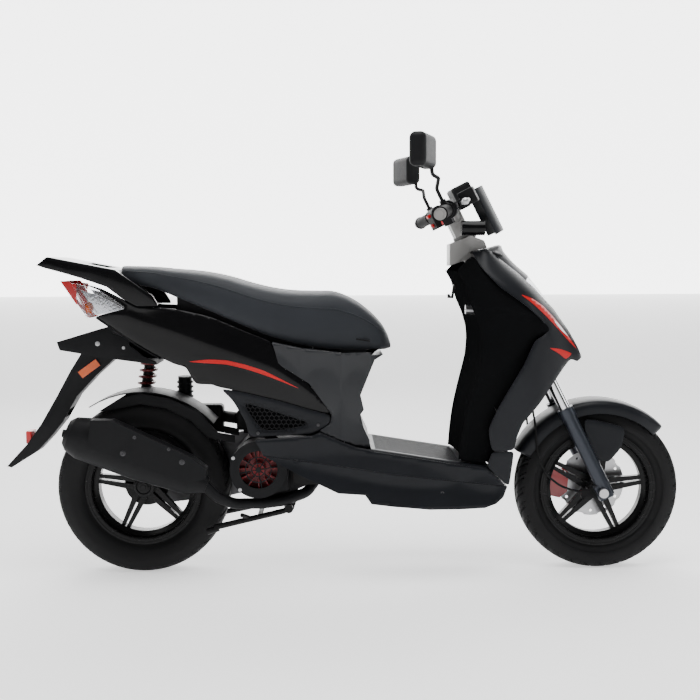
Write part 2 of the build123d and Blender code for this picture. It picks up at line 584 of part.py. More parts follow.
SPRING_R = 22.0
WIRE_R = 3.2
spring_low, spring_high = 40 + WIRE_R + SEAT_FIT, shock_run - 52 - WIRE_R - SEAT_FIT
helix = Helix((spring_high - spring_low) / 9, spring_high - spring_low, SPRING_R)
coil = sweep(Plane(origin=helix @ 0, z_dir=helix % 0) * Circle(WIRE_R), helix, is_frenet=True)
keep("shock_spring", SHOCK * (Pos(0, 0, spring_low) * coil))

# ---------------------------------------------------------------- frame
RAIL_R = 11.0
FLOOR_TUBE_R = 15.0
FLOOR_TUBE_Z = 268.0
HANGER_Y = 78.0
DOWN_TUBE_R = 19.0
frame = fork_rod(0, 0, HEAD_LOW, HEAD_HIGH, HEAD_R)
down_points = [fork_point(2, 0, 600), (1008 + FRONT_SHIFT, 0, 560), (966 + FRONT_SHIFT, 0, 340),
               (925 + FRONT_SHIFT, 0, FLOOR_TUBE_Z)]
frame += tube_path(down_points, DOWN_TUBE_R, 90)
frame += cross_rod(905 + FRONT_SHIFT, FLOOR_TUBE_Z, -80, 80, 14)
frame += rod((940 + FRONT_SHIFT, 0, FLOOR_TUBE_Z + 12), (890 + FRONT_SHIFT, 0, FLOOR_TUBE_Z - 2),
             DOWN_TUBE_R - 3)
for side in (-1, 1):
    rail = [(905 + FRONT_SHIFT, side * 80, FLOOR_TUBE_Z), (600, side * 80, FLOOR_TUBE_Z),
            (562, side * 96, 300),
            (550, side * 96, 430), (330, side * 96, 566), (70, side * 82, 648), (-70, side * 66, 692)]
    frame += tube_path(rail, RAIL_R + 2, 50)
    hanger = [(610, 262), (600, 276), (470, 300), (424, 292), (424, 258), (456, 254), (570, 256)]
    frame += side_solid(hanger, side * HANGER_Y - 3.0, side * HANGER_Y + 3.0)
frame += cross_rod(*ENGINE_PIVOT, -HANGER_Y, HANGER_Y, PIVOT_PIN_R)
TANK_BOTTOM = 222.0
STRAP_T = 4.0
for x in (690.0, 840.0 + FRONT_SHIFT):
    frame += block(36, 146, STRAP_T, (x, 0, TANK_BOTTOM - STRAP_T / 2))
    for side in (-1, 1):
        frame += block(36, STRAP_T, FLOOR_TUBE_Z - TANK_BOTTOM + STRAP_T,
                       (x, side * 71, (FLOOR_TUBE_Z + TANK_BOTTOM - STRAP_T) / 2))
TRAY_Z = 424.0
frame += cross_rod(548, TRAY_Z - 6, -96, 96, 9)
frame += block(92, 150, STRAP_T, (506, 0, TRAY_Z))
frame += block(30, 170, STRAP_T, (536, 0, TRAY_Z))
frame += cross_rod(70, 648, -82, 82, 9)
frame += cross_rod(330, 566, -96, 96, 9)
frame += cross_rod(*SHOCK_TOP, 66, SHOCK_Y + 20, PIN_R)
frame += side_solid([(-4, 640), (28, 640), (36, 672), (-10, 680)], 62, SHOCK_Y - EYE_HALF - 3)
frame -= fork_rod(0, 0, HEAD_LOW - 10, HEAD_HIGH + 10, STEM_R + RUN_FIT)
frame -= cross_rod(*SHOCK_TOP, SHOCK_Y - EYE_HALF - SEAT_FIT, SHOCK_Y + EYE_HALF + SEAT_FIT,
                   EYE_R + 14) - cross_rod(
    *SHOCK_TOP, SHOCK_Y - EYE_HALF - 2, SHOCK_Y + EYE_HALF + 2, PIN_R)
BOX_LOW = [(480, 612), (300, 604), (200, 650), (110, 694)]
saddle_front = [(320, 560), (340, 560), (340, 605.4), (320, 604.5)]
saddle_rear = [(190, 600), (210, 600), (210, 645.1), (200, 649.7), (190, 654.6)]
frame += side_solid(saddle_front, -60, 60) + side_solid(saddle_rear, -60, 60)
frame += cross_rod(200, 607, -88, 88, 9)
keep("main_frame", frame.solids().sort_by(SortBy.VOLUME)[-1])

TANK_TOP = 322.0
tank_x = (655 + 875 + FRONT_SHIFT) / 2
tank_length = 220 + FRONT_SHIFT
tank = rounded_block(tank_length, 126, TANK_TOP - TANK_BOTTOM - SEAT_FIT,
                     (tank_x, 0, (TANK_TOP + TANK_BOTTOM + SEAT_FIT) / 2), 10)
keep("fuel_tank", tank - rounded_block(tank_length - 6, 120, TANK_TOP - TANK_BOTTOM - SEAT_FIT - 6,
                                       (tank_x, 0, (TANK_TOP + TANK_BOTTOM + SEAT_FIT) / 2), 8))
battery_z = TRAY_Z + STRAP_T / 2 + SEAT_FIT
battery = rounded_block(66, 112, 88, (500, 0, battery_z + 44), 4)
for y in (-30, 30):
    battery += Pos(486, y, battery_z + 91) * Cylinder(6, 8)
keep("battery", battery)

# ---------------------------------------------------------------- rear bodywork
REAR_PLAN = [(-236, 52), (-170, 80), (-100, 106), (0, 134), (100, 150), (250, BODY_HALF_W),
             (450, BODY_HALF_W),
             (560, 148), (640, 122), (704, 82)]
SEAT_LINE = [(40, 806), (100, 783), (200, 742), (300, 698), (400, 660), (500, 637), (560, 631), (688, 634)]
TAIL_LOW = [(-118, 728), (-75, 703), (0, 655), (58, 622), (105, 600), (137, 592)]


def shell_of(region, stations, wall=PANEL_T):
    """The flanks of a plan form inside one side-view region."""
    outer = side_solid(region, -300, 300) & plan_solid(half_widths_to_plan(stations), 100, 1300)
    return outer - plan_solid(half_widths_to_plan(inset(stations, wall)), 90, 1310)


def all_solids(shape, smallest=200.0):
    return Compound(children=[s for s in shape.solids() if s.volume > smallest])


TAIL_PLAN = [(-300, 20)] + REAR_PLAN + [(760, 30)]
side_region = TAIL_LOW + [(158, 545), (211, 545), (226, 536), (300, 523), (400, 499), (470, 477), (531, 462),
                          (470, 545), (389, 598), (372, 660), (300, 688), (200, 731), (100, 752), (5, 757),
                          (-96, 806), (-158, 822), (-158, 818), (-100, 801), (-21, 752), (-121, 731)]
side_panels = shell_of(side_region, TAIL_PLAN)
keep("side_panels", all_solids(side_panels))

VENT_REGION = [(229, 535), (300, 522), (400, 498), (470, 476), (530, 460), (528, 436), (500, 417),
               (480, 407.5),
               (400, 402), (306, 398), (298, 440), (262, 500)]
GRILLE = [(286, 500), (470, 440), (462, 430), (400, 418), (352, 416), (330, 430)]
vents = shell_of(VENT_REGION, TAIL_PLAN) - side_solid(GRILLE, -300, 300)
mesh = side_solid([(280, 506), (478, 442), (468, 426), (402, 413), (348, 411), (324, 428)], -300, 300)
mesh &= plan_solid(half_widths_to_plan(inset(TAIL_PLAN, PANEL_T)), 300, 600)
mesh -= plan_solid(half_widths_to_plan(inset(TAIL_PLAN, PANEL_T + 1.5)), 290, 610)
keep("vent_panels", all_solids(vents + mesh))

COVER_FRONT = [(690, 628), (652, 606), (612, 510), (622, 470), (612, 457), (620, 422), (637, 386)]
cover_region = [(372.5, 659), (450, 642), (560, 628), (690, 628)] + COVER_FRONT[1:] + [
    (637, 367), (600, 374), (562, 389), (529, 401), (501, 416.5), (529, 435.5), (533, 461), (472, 546),
    (390, 599)]
cover = side_solid(cover_region, -300, 300) & plan_solid(half_widths_to_plan(TAIL_PLAN), 100, 1300)
cover_core = Pos(-PANEL_T - 1, 0, 0) * side_solid(cover_region, -300, 300)
cover_core &= plan_solid(half_widths_to_plan(inset(TAIL_PLAN, PANEL_T)), 100, 1300)
cover = cover - cover_core - block(360, 240, 60, (540, 0, 650)) - block(150, 240, 40, (540, 0, 385))
keep("centre_cover", cover.solids().sort_by(SortBy.VOLUME)[-1])

# tail lamp: red lens across the back, clear side lenses, reflectors on the mudguard
red_region = [(-219, 826), (-190, 826), (-122, 726), (-137, 724), (-152, 736)]
red = side_solid(red_region, -300, 300) & plan_solid(half_widths_to_plan(TAIL_PLAN), 100, 1300)
red_core = Pos(PANEL_T + 1, 0, 0) * side_solid(red_region, -300, 300)
red -= red_core & plan_solid(half_widths_to_plan(inset(TAIL_PLAN, PANEL_T)), 100, 1300)
clear_region = [(-186, 820), (-161, 816.5), (-100, 799.4), (-24, 752.5), (-120, 732)]
clear = shell_of(clear_region, TAIL_PLAN) - side_solid(red_region, -300, 300)
STALK_HALF_W = 38.0
amber = rod((-122, -STALK_HALF_W - 5, 598), (-172, -STALK_HALF_W - 5, 562), 11)
amber &= side_solid([(-400, 300), (0, 300), (0, 700), (-400, 700)], -STALK_HALF_W - 7,
                    -STALK_HALF_W - SEAT_FIT)
REFLECTOR = (-325, 0, 384)
red_box = rounded_block(16, 56, 36, REFLECTOR, 3)
keep("rear_lenses", Compound(children=[*red.solids(), *clear.solids(), *amber.solids(),
                                       *mirrored(amber).solids(),
                                       *red_box.solids()]))

stalk = [(-168, 625), (-200, 575), (-240, 502), (-285, 425), (-327, 366), (-385, 304), (-372, 300),
         (-300, 345),
         (-262, 385), (-225, 430), (-184, 502), (-130, 560), (-75, 609)]
tray = [(-230, 657), (-222, 634), (-168, 625), (-75, 609), (46, 592), (46, 600), (10, 616), (-4, 629),
        (-103, 695)]
mudguard = side_solid(tray, -70, 70) - side_solid([(-210, 650), (-160, 632), (-70, 616), (60, 596), (60, 640),
                                                   (-100, 720)], -67, 67)
mudguard += side_solid(stalk, -STALK_HALF_W, STALK_HALF_W) - side_solid(
    [(-164, 615), (-194, 570), (-234, 500), (-262, 452), (-215, 440), (-190, 502), (-130, 565), (-88, 604)],
    -STALK_HALF_W + 3, STALK_HALF_W - 3)
closing = side_solid([(-116, 724), (0, 650), (58, 617), (58, 620), (0, 653), (-114, 727)], -300, 300)
closing &= plan_solid(half_widths_to_plan(inset(TAIL_PLAN, PANEL_T + SEAM)), 100, 1300)
closing -= block(86, 70, 200, (3, 101, 640))
for side in (-1, 1):
    ear = side_solid([(-98, 691), (-30, 645), (-30, 676), (-80, 706)], side * 67 - 3, side * 67 + 3)
    mudguard += ear
mudguard = mudguard + closing - PARTS["main_frame"] - red_box
mudguard -= rounded_block(16 + 2 * SEAT_FIT, 56 + 2 * SEAT_FIT, 36 + 2 * SEAT_FIT, REFLECTOR, 3)
keep("rear_mudguard", mudguard.solids().sort_by(SortBy.VOLUME)[-1])

# grab rail: two arms outside the seat joined by a plate behind it
RAIL_IN_Y, RAIL_OUT_Y = 122.0, 144.0
rail_region = [(-273, 870), (-240, 893), (-52, 857), (-1, 822), (46, 788), (61, 764), (61, 757.4),
               (6, 757.4), (-33, 778.4), (-75, 810.4), (-149, 835.4), (-200, 850), (-247, 862)]
grab = side_solid(rail_region, -RAIL_OUT_Y, RAIL_OUT_Y)
grab -= block(400, 2 * RAIL_IN_Y, 300, (142, 0, 820))
grab -= block(70, 150, 80, (-120, 0, 860))
corner = plan_solid([(-300, 96), (-240, 124), (-60, RAIL_OUT_Y + 2), (-300, RAIL_OUT_Y + 2)], 700, 1000)
grab = grab - corner - mirrored(corner)
keep("grab_rail", grab.solids().sort_by(SortBy.VOLUME)[-1])

# ---------------------------------------------------------------- seat, helmet box
SEAT_PLAN = [(-60, 84), (-30, 112), (62, 119), (130, 140), (250, SEAT_HALF_W), (430, 144), (560, 122),
             (640, 100),
             (690, 70), (704, 40)]
SEAT_TOP = [(700, 645), (695, 672), (682, 696), (661, 721), (631, 747), (600, 769), (575, 783), (551, 793),
            (520, 796), (450, 796), (400, 800), (350, 809), (300, 820), (227, 841), (150, 856), (50, 864),
            (-40, 871)]
HINGE_X, HINGE_Z = 693.0, 640.0
HINGE_PIN_R, HINGE_EYE_R, HINGE_LUG_HALF_W = 3.0, 5.5, 24.0
SEAT_LIFT = 3.0
seat_bottom = [(-46, 862), (-40, 815), (0, 812)] + [(x, z + SEAT_LIFT) for x, z in SEAT_LINE]
pad = side_solid(SEAT_TOP + seat_bottom, -300, 300) & plan_solid(half_widths_to_plan(SEAT_PLAN), 500, 1000)
CAVITY_HALF_W, CAVITY_RISE = 112.0, 42.0
cavity_line = [(x, z + CAVITY_RISE) for x, z in SEAT_LINE[1:6]]
base_line = [(x, z - 4) for x, z in cavity_line]
cavity = side_solid(cavity_line + [(580, 670), (640, 660), (640, 560), (60, 560), (60, 820)],
                    -CAVITY_HALF_W, CAVITY_HALF_W)
pad -= cavity
keep("seat_pad", pad.solids().sort_by(SortBy.VOLUME)[-1])
base_top = [(62, 819)] + [(x, z - SEAT_FIT) for x, z in cavity_line] + [(579, 669.7), (639, 659.7)]
base_low = [(x, z - 4) for x, z in reversed(base_top)]
base = side_solid(base_top + base_low, -CAVITY_HALF_W + SEAT_FIT, CAVITY_HALF_W - SEAT_FIT)
base += side_solid([(632, 660), (639, 660), (HINGE_X - 4, HINGE_Z + 7), (HINGE_X - 4, HINGE_Z + 2),
                    (634, 654)],
                   -HINGE_LUG_HALF_W, HINGE_LUG_HALF_W)
base += cross_rod(HINGE_X, HINGE_Z, -HINGE_LUG_HALF_W, HINGE_LUG_HALF_W, HINGE_EYE_R)
base -= cross_rod(HINGE_X, HINGE_Z, -40, 40, HINGE_PIN_R + RUN_FIT)
keep("seat_base", base.solids().sort_by(SortBy.VOLUME)[-1])
HINGE_PLATE_T = 4.0
bracket_side = [(HINGE_X - 6, HINGE_Z + 6), (HINGE_X + 5, HINGE_Z + 6), (HINGE_X + 5, HINGE_Z - 6),
                (684, 630), (662, 629),
                (634, 600), (596, 535), (562, 440), (562, 422), (540, 422), (540, 440), (578, 545),
                (618, 606), (650, 637)]
hinge_bracket = cross_rod(HINGE_X, HINGE_Z, -HINGE_LUG_HALF_W - 4, HINGE_LUG_HALF_W + 4, HINGE_PIN_R)
for side in (-1, 1):
    y = side * (HINGE_LUG_HALF_W + SEAT_FIT + HINGE_PLATE_T / 2)
    hinge_bracket += side_solid(bracket_side, y - HINGE_PLATE_T / 2, y + HINGE_PLATE_T / 2)
frame = PARTS["main_frame"] + hinge_bracket
keep("main_frame", frame.solids().sort_by(SortBy.VOLUME)[-1])
notch = side_solid([(560, 700), (560, 600), (720, 600), (720, HINGE_Z + 9), (668, HINGE_Z + 14), (630, 670)],
                   -HINGE_LUG_HALF_W - 7, HINGE_LUG_HALF_W + 7)
pad = PARTS["seat_pad"] - notch
keep("seat_pad", pad.solids().sort_by(SortBy.VOLUME)[-1])

BOX_HALF_W = 106.0
box_top = [(110, 808)] + [(x, z - 9) for x, z in cavity_line[1:4]] + [(480, 673)]
box_outer = side_solid(box_top + BOX_LOW, -BOX_HALF_W, BOX_HALF_W)
box_inner = side_solid([(113, 840), (477, 840), (477, 615), (301, 607), (201, 653), (113, 696)],
                       -BOX_HALF_W + 3, BOX_HALF_W - 3)
keep("helmet_box", (box_outer - box_inner).solids().sort_by(SortBy.VOLUME)[-1])

# ---------------------------------------------------------------- floor
FLOOR_PLAN = [(320, FLOOR_HALF_W), (880 + FRONT_SHIFT, FLOOR_HALF_W), (1000 + FRONT_SHIFT, 150),
              (1040 + FRONT_SHIFT, 138)]
floor_top = [(325, 395), (480, 405.5), (500, 414.5), (560, 388), (600, 372), (637, 365)] + front(
    [(923, 319), (957, 313), (1008, 262)])
floor_low = front([(1006, 260), (700, 296)]) + [(550, 321), (345, 350)]
floor_outer = side_solid(floor_top + floor_low, -300, 300) & plan_solid(half_widths_to_plan(FLOOR_PLAN), 100,
                                                                        600)
floor_core = side_solid([(x, z - PANEL_T) for x, z in floor_top[:-1]] + front([(1001, 259), (1001, 100)]) +
                        [(325, 100)],
                        -300, 300)
floor_core &= plan_solid(half_widths_to_plan(inset(FLOOR_PLAN, PANEL_T)), 90, 600)
floor = floor_outer - floor_core - block(330, 2 * FLOOR_HALF_W - 12, 200, (475, 0, 400))
floor -= tube_path(down_points, DOWN_TUBE_R + SEAT_FIT, 90)
keep("floorboard", floor.solids().sort_by(SortBy.VOLUME)[-1])

belly_edge = [(345, 349), (550, 320)] + front([(700, 295.4), (1006, 259.4), (1016, 256)])
belly_low = front([(1004, 229), (983, 212), (951, 202), (801, 201)]) + [(700, 210), (640, 218), (623, 241),
                                                                        (550, 247),
                                                                        (440, 298)]
belly = side_solid(belly_edge + belly_low, -300,
                   300) & plan_solid(half_widths_to_plan(inset(FLOOR_PLAN, 0.4)), 100, 600)
belly_core = side_solid([(x, z + PANEL_T) for x, z in belly_low[1:]] + [(440, 600)] +
                        front([(1000, 600), (1000, 232)]),
                        -300, 300)
belly_core &= plan_solid(half_widths_to_plan(inset(FLOOR_PLAN, PANEL_T + 0.4)), 90, 620)
belly = belly - belly_core - block(240, 300, 240, (455, 0, 300))
keep("belly_pan", belly.solids().sort_by(SortBy.VOLUME)[-1])

# ---------------------------------------------------------------- front bodywork
NOSE_TOP = [(920, 902), (970, 914), (1012, 923), (1028, 893), (1091, 837), (1150, 759), (1200, 691),
            (1238, 619),
            (1241, 603)]
ARCH = [(1200, 600), (1175, 580), (1138, 536), (1101, 489), (1064, 447), (1054, 436), (1040, 401),
        (1031, 359)]
WING_LOW = [(970, 356), (959, 420), (989, 485), (1029, 554), (1054, 596), (1077, 645), (1086, 661),
            (1124, 684),
            (1124, 694), (1101, 721), (1050, 763), (989, 805), (943, 856)]
SHIELD_REAR = [(872, 850), (892, 819), (906, 768), (924, 726), (936, 684), (938, 647), (934, 601), (922, 554),
               (899, 466), (887, 396), (880, 330)]
SHIELD_PLAN = [(840, SHIELD_HALF_W), (1050, SHIELD_HALF_W), (1100, 168), (1150, 132), (1200, 86), (1246, 40)]
SHIELD_FRONT = [(150, 240), (158, 320), (168, 400), (180, 500), (190, 600), (192, 700), (188, 760),
                (165, 835),
                (126, 890), (92, 930)]


def shield_form(wall):
    plan = plan_solid(half_widths_to_plan([(x + FRONT_SHIFT, w - wall) for x, w in SHIELD_PLAN]), 100, 1100)
    right = [(y - wall, z) for y, z in SHIELD_FRONT]
    outline = right + [(-y, z) for y, z in reversed(right)]
    return plan & front_solid(outline, 700, 1400 + FRONT_SHIFT)


whole = front(NOSE_TOP + ARCH + [(1029, 330), (1021, 262), (1008, 263), (957, 314.5)] + SHIELD_REAR[::-1])
shield_outer = side_solid(whole, -300, 300) & shield_form(0)
core_outline = ([(916, 899), (970, 910), (1009, 918), (1024, 889), (1088, 832), (1146, 756), (1196, 688),
                 (1232, 618),
                 (1234, 560), (1300, 520), (1300, 200), (900, 200)]
                + [(x + PANEL_T + 1, z) for x, z in SHIELD_REAR[::-1]])
shield_skin = shield_outer - (side_solid(front(core_outline), -300, 300) & shield_form(PANEL_T))
CENTRE_HALF_W = 46.0
centre_slot = side_solid([(700, 200), (1500, 200), (1500, 1100), (700, 1100)], -CENTRE_HALF_W, CENTRE_HALF_W)
wing_region = side_solid(front(NOSE_TOP + ARCH + WING_LOW), -300, 300)
wings = (shield_skin & wing_region) - centre_slot
keep("front_wings", all_solids(wings))
nose_band = side_solid(front([(1000, 926), (1030, 900), (1250, 640), (1250, 596), (1212, 598), (1176, 640),
                              (1100, 740),
                              (1040, 800), (996, 850)]), -CENTRE_HALF_W + SEAM, CENTRE_HALF_W - SEAM)
nose = shield_skin & nose_band
lamp_window = side_solid(front([(1040, 900), (1110, 860), (1185, 740), (1146, 726), (1086, 800),
                                (1030, 850)]), -36, 36)
lens = nose & side_solid(front([(1041, 898), (1109, 858), (1183, 739), (1147, 729), (1087, 803),
                                (1032, 852)]),
                         -36 + SEAM, 36 - SEAM)
keep("front_shield", (nose - lamp_window).solids().sort_by(SortBy.VOLUME)[-1])
lamp_bowl = side_solid(front([(1080, 844), (1158, 744), (1128, 716), (1060, 790)]), -30, 30)
lamp_bowl -= side_solid(front([(1084, 850), (1165, 746), (1134, 722), (1066, 792)]), -27, 27)
lamp_bowl = lamp_bowl - shield_skin
keep("headlight", Compound(children=[*lens.solids(), lamp_bowl.solids().sort_by(SortBy.VOLUME)[-1]]))

lower_region = front([(970.5, 355), (1031, 358), (1029, 330), (1021, 262), (1009, 263), (958, 315),
                      (966, 340)])
lowers = (shield_skin & side_solid(lower_region, -300, 300))
arch_wall = side_solid(front([(1017, 264), (1016, 356), (1015, 404), (984, 470), (958, 560), (955, 560),
                              (981, 468), (1012, 402), (1013, 356), (1014, 264)]), -300, 300)
arch_wall &= shield_form(PANEL_T + SEAM)
arch_wall = arch_wall - tube_path(down_points, DOWN_TUBE_R + SEAT_FIT, 90)
keep("lower_fairings", Compound(children=[*all_solids(lowers).solids(), *arch_wall.solids()]))

inner_region = front(SHIELD_REAR + [(956.5, 316), (965, 340), (969.5, 355.5), (958.4, 420), (988.4, 485.2),
                                    (1028.5, 554.3), (1053.4, 596.3), (1076.4, 645.3), (1085.6, 661.6),
                                    (1123, 684.4), (1123, 693.5), (1100.5, 720.5), (1049.5, 762.4),
                                    (988.5, 804.5),
                                    (942.5, 855.4), (920, 896)])
inner = shield_skin & side_solid(inner_region, -300, 300)
LOCK_Y, LOCK_Z, LOCK_R = -62.0, 742.0, 13.0
HOOK_X, HOOK_Z = 884.0 + FRONT_SHIFT, 806.0
lock_bore = rod((860 + FRONT_SHIFT, LOCK_Y, LOCK_Z), (980 + FRONT_SHIFT, LOCK_Y, LOCK_Z), LOCK_R + RUN_FIT)
inner += rod((916 + FRONT_SHIFT, LOCK_Y, LOCK_Z), (950 + FRONT_SHIFT, LOCK_Y, LOCK_Z), LOCK_R + 5)
inner -= lock_bore
for y in (-14, 14):
    inner += block(26, 5, 14, (HOOK_X + 6, y, HOOK_Z))
inner -= cross_rod(HOOK_X, HOOK_Z, -30, 30, 2.5 + RUN_FIT)
inner = inner - PARTS["floorboard"] - arch_wall
keep("inner_leg_shield", inner.solids().sort_by(SortBy.VOLUME)[-1])
hook = cross_rod(HOOK_X, HOOK_Z, -17, 17, 2.5) + cross_rod(HOOK_X, HOOK_Z, -11, 11, 5)
hook += side_solid([(HOOK_X - 5, HOOK_Z), (HOOK_X + 3, HOOK_Z), (HOOK_X - 4, HOOK_Z - 34),
                    (HOOK_X - 20, HOOK_Z - 34),
                    (HOOK_X - 20, HOOK_Z - 22), (HOOK_X - 14, HOOK_Z - 22), (HOOK_X - 12, HOOK_Z - 28),
                    (HOOK_X - 9, HOOK_Z - 28)], -6, 6)
hook = hook - (shield_skin & side_solid([(HOOK_X - 30, HOOK_Z - 50), (HOOK_X + 60, HOOK_Z - 50),
                                         (HOOK_X + 60, HOOK_Z - 9),
                                         (HOOK_X - 30, HOOK_Z - 9)], -20, 20))
keep("bag_hook", hook.solids().sort_by(SortBy.VOLUME)[-1])
lock = rod((908 + FRONT_SHIFT, LOCK_Y, LOCK_Z), (960 + FRONT_SHIFT, LOCK_Y, LOCK_Z), LOCK_R)
lock -= block(12, 16, 3, (908 + FRONT_SHIFT, LOCK_Y, LOCK_Z))
keep("ignition_lock", lock)

neck_outline = front([(866, 864), (866, 924), (925, 948), (962, 934), (975, 903), (936, 888)])
NECK_HALF_W = CENTRE_HALF_W - SEAT_FIT
neck = side_solid(neck_outline, -NECK_HALF_W, NECK_HALF_W)
neck -= side_solid(front([(870, 850), (870, 921), (925, 944), (959, 931), (968, 902), (940, 880)]),
                   -NECK_HALF_W + PANEL_T,
                   NECK_HALF_W - PANEL_T)
neck -= fork_rod(0, 0, 690, 860, HEAD_R + 9)
neck = neck - shield_skin
keep("neck_cover", neck.solids().sort_by(SortBy.VOLUME)[-1])

# ---------------------------------------------------------------- handlebar and controls
BAR_R = 11.0
BAR_Z = 900.0
RISER_LOW, CLAMP_Z = 738.0, 868.0
bar_out = [(-62.0, BAR_HALF_W, BAR_Z - 1), (0.0, 110.0, BAR_Z), (6.0, 52.0, CLAMP_Z)]
bar_points = [fork_point(x, -y, z) for x, y, z in bar_out] + [fork_point(x, y, z) for x, y,
                                                              z in reversed(bar_out)]
bar = tube_path(bar_points, BAR_R, 45)
RISER_W, RISER_T = 74.0, 44.0
RISER_NECK_R, RISER_SHOULDER = 24.0, 817.0
riser = on_fork(Pos(4, 0, (RISER_SHOULDER + CLAMP_Z + 18) / 2) * Box(RISER_T, RISER_W,
                                                                     CLAMP_Z + 18 - RISER_SHOULDER))
riser += fork_rod(0, 0, RISER_LOW, RISER_SHOULDER + 1, RISER_NECK_R)
riser -= fork_rod(0, 0, RISER_LOW - 5, STEM_TOP + SEAT_FIT, STEM_R + RUN_FIT)
riser -= tube_path(bar_points, BAR_R + RUN_FIT, 45)
BARS_ALONG = Vector(bar_out[0][0] - bar_out[1][0], -(bar_out[0][1] - bar_out[1][1]), -1).normalized()
BARS_FWD = Vector(-BARS_ALONG.Y, BARS_ALONG.X, 0).normalized()
RIGHT_BAR = Plane(origin=(0, -110, BAR_Z), x_dir=BARS_FWD, z_dir=BARS_ALONG)


def on_bar(shape):
    """A piece placed along the straight right-hand end of the bar: x forward, y up, z outboard."""
    return FORK * (RIGHT_BAR * shape)


def bar_rod(z_low, z_high, radius, x=0.0, y=0.0):
    bar_piece = Cylinder(radius, z_high - z_low, align=(Align.CENTER, Align.CENTER, Align.MIN))
    return on_bar(Pos(x, y, z_low) * bar_piece)


POD = (40.0, 86.0)
PERCH = (88.0, 110.0)
GRIP = (112.5, 226.0)
GRIP_R = 17.0
weight = bar_rod(GRIP[1] + 1, GRIP[1] + 14, 15.5)
bar = fuse_all([bar, weight, mirrored(weight)])
keep("handlebar", Compound(children=[*bar.solids(), *riser.solids()]))
grip_outer = bar_rod(*GRIP, GRIP_R) + bar_rod(GRIP[0], GRIP[0] + 5, GRIP_R + 4) + bar_rod(GRIP[1] - 4,
                                                                                          GRIP[1], GRIP_R + 2)
keep("throttle_grip", grip_outer - bar_rod(GRIP[0] - 1, GRIP[1] + 1, BAR_R + RUN_FIT))
keep("left_grip", mirrored(grip_outer - bar_rod(GRIP[0] - 1, GRIP[1] + 1, BAR_R + RUN_FIT)))

LEVER_X, LEVER_Z = 46.0, 99.0
BUTTON_R = 6.0


def controls():
    """Switch pod, lever perch with its clevis and mirror boss, and the mirror stem, right-hand side."""
    pod = bar_rod(*POD, 25) + on_bar(Pos(-14, -20, (POD[0] + POD[1]) / 2) * Box(24, 36, POD[1] - POD[0]))
    perch = bar_rod(PERCH[0], PERCH[1], 18) + on_bar(Pos(28, 0, (PERCH[0] + PERCH[1]) / 2) * Box(40, 20,
                                                                                                 PERCH[1] -
                                                                                                 PERCH[0]))
    perch += bar_rod(PERCH[0], PERCH[1], 10, LEVER_X, 0)
    perch -= on_bar(Pos(LEVER_X + 4, 0, LEVER_Z + 10) * Box(44, 12, 60))
    perch += on_bar(Pos(LEVER_X, 0, LEVER_Z) * (Rot(90, 0, 0) * Cylinder(4, 20)))
    perch += on_bar(Pos(0, 22, LEVER_Z) * (Rot(90, 0, 0) * Cylinder(9, 16)))
    pod -= bar_rod(POD[0] - 1, POD[1] + 1, BAR_R + RUN_FIT)
    perch -= bar_rod(PERCH[0] - 1, PERCH[1] + 1, BAR_R + RUN_FIT)
    return pod, perch


pod, perch = controls()
MIRROR_PIN = (794.8 + FRONT_SHIFT, -281.8)
stem_foot = FORK.from_local_coords(RIGHT_BAR.from_local_coords(Vector(0, 29, LEVER_Z)))
stem_knee = FORK.from_local_coords(RIGHT_BAR.from_local_coords(Vector(0, 62, LEVER_Z)))
stem_points = [(stem_foot.X, stem_foot.Y, stem_foot.Z), (stem_knee.X, stem_knee.Y, stem_knee.Z),
               (MIRROR_PIN[0] + 20, MIRROR_PIN[1] + 26, 1092), (MIRROR_PIN[0], MIRROR_PIN[1], 1100),
               (MIRROR_PIN[0], MIRROR_PIN[1], 1138)]
mirror_stem = tube_path(stem_points, 5.0, 14)
button_socket = on_bar(Pos(-24, -24, 63) * (Rot(0, 90, 0) * Cylinder(BUTTON_R + RUN_FIT + 0.1, 24)))
pod_left = pod
pod -= button_socket
reservoir = on_bar(rounded_block(44, 42, 42, (62, 6, 65.5), 4))
reservoir = fuse_all([reservoir, on_bar(Pos(52, 0, 87) * Box(18, 14, 4))])
right_perch = (perch + mirror_stem)
right_perch = (right_perch + (reservoir - on_bar(Pos(LEVER_X + 4, 0, LEVER_Z + 10) * Box(44, 12.4, 60))))
switch_slot = on_bar(Pos(-26, 6, 63) * Box(14, 9.4, 22.4))
left_pod = mirrored(pod_left - button_socket - switch_slot)
keep("bar_controls", Compound(children=[*pod.solids(), *right_perch.solids(), *left_pod.solids(),
                                        *mirrored(perch + mirror_stem).solids()]))
button = on_bar(Pos(-27, -24, 63) * (Rot(0, 90, 0) * Cylinder(BUTTON_R, 12)))
keep("starter_button", button)
keep("horn_button", mirrored(button))
slider = on_bar(Pos(-27, 6, 63) * Box(11, 9, 12))
keep("turn_switch", mirrored(slider))


def brake_lever():
    """A lever on its clevis pin with a ball end, right-hand side."""
    eye = on_bar(Pos(LEVER_X, 0, LEVER_Z) * (Rot(90, 0, 0) * Cylinder(9, 10.6)))
    path = [(LEVER_X + 2, 0, LEVER_Z), (LEVER_X + 22, 0, LEVER_Z + 32), (LEVER_X + 26, 0, 232)]
    points = []
    for p in path:
        world = FORK.from_local_coords(RIGHT_BAR.from_local_coords(Vector(*p)))
        points.append((world.X, world.Y, world.Z))
    lever = eye + tube_path(points, 5.2, 30) + Pos(*points[-1]) * Sphere(9)
    return lever - on_bar(Pos(LEVER_X, 0, LEVER_Z) * (Rot(90, 0, 0) * Cylinder(4 + RUN_FIT, 40)))


lever = brake_lever()
keep("brake_lever_right", lever.solids().sort_by(SortBy.VOLUME)[-1])
keep("brake_lever_left", mirrored(lever.solids().sort_by(SortBy.VOLUME)[-1]))

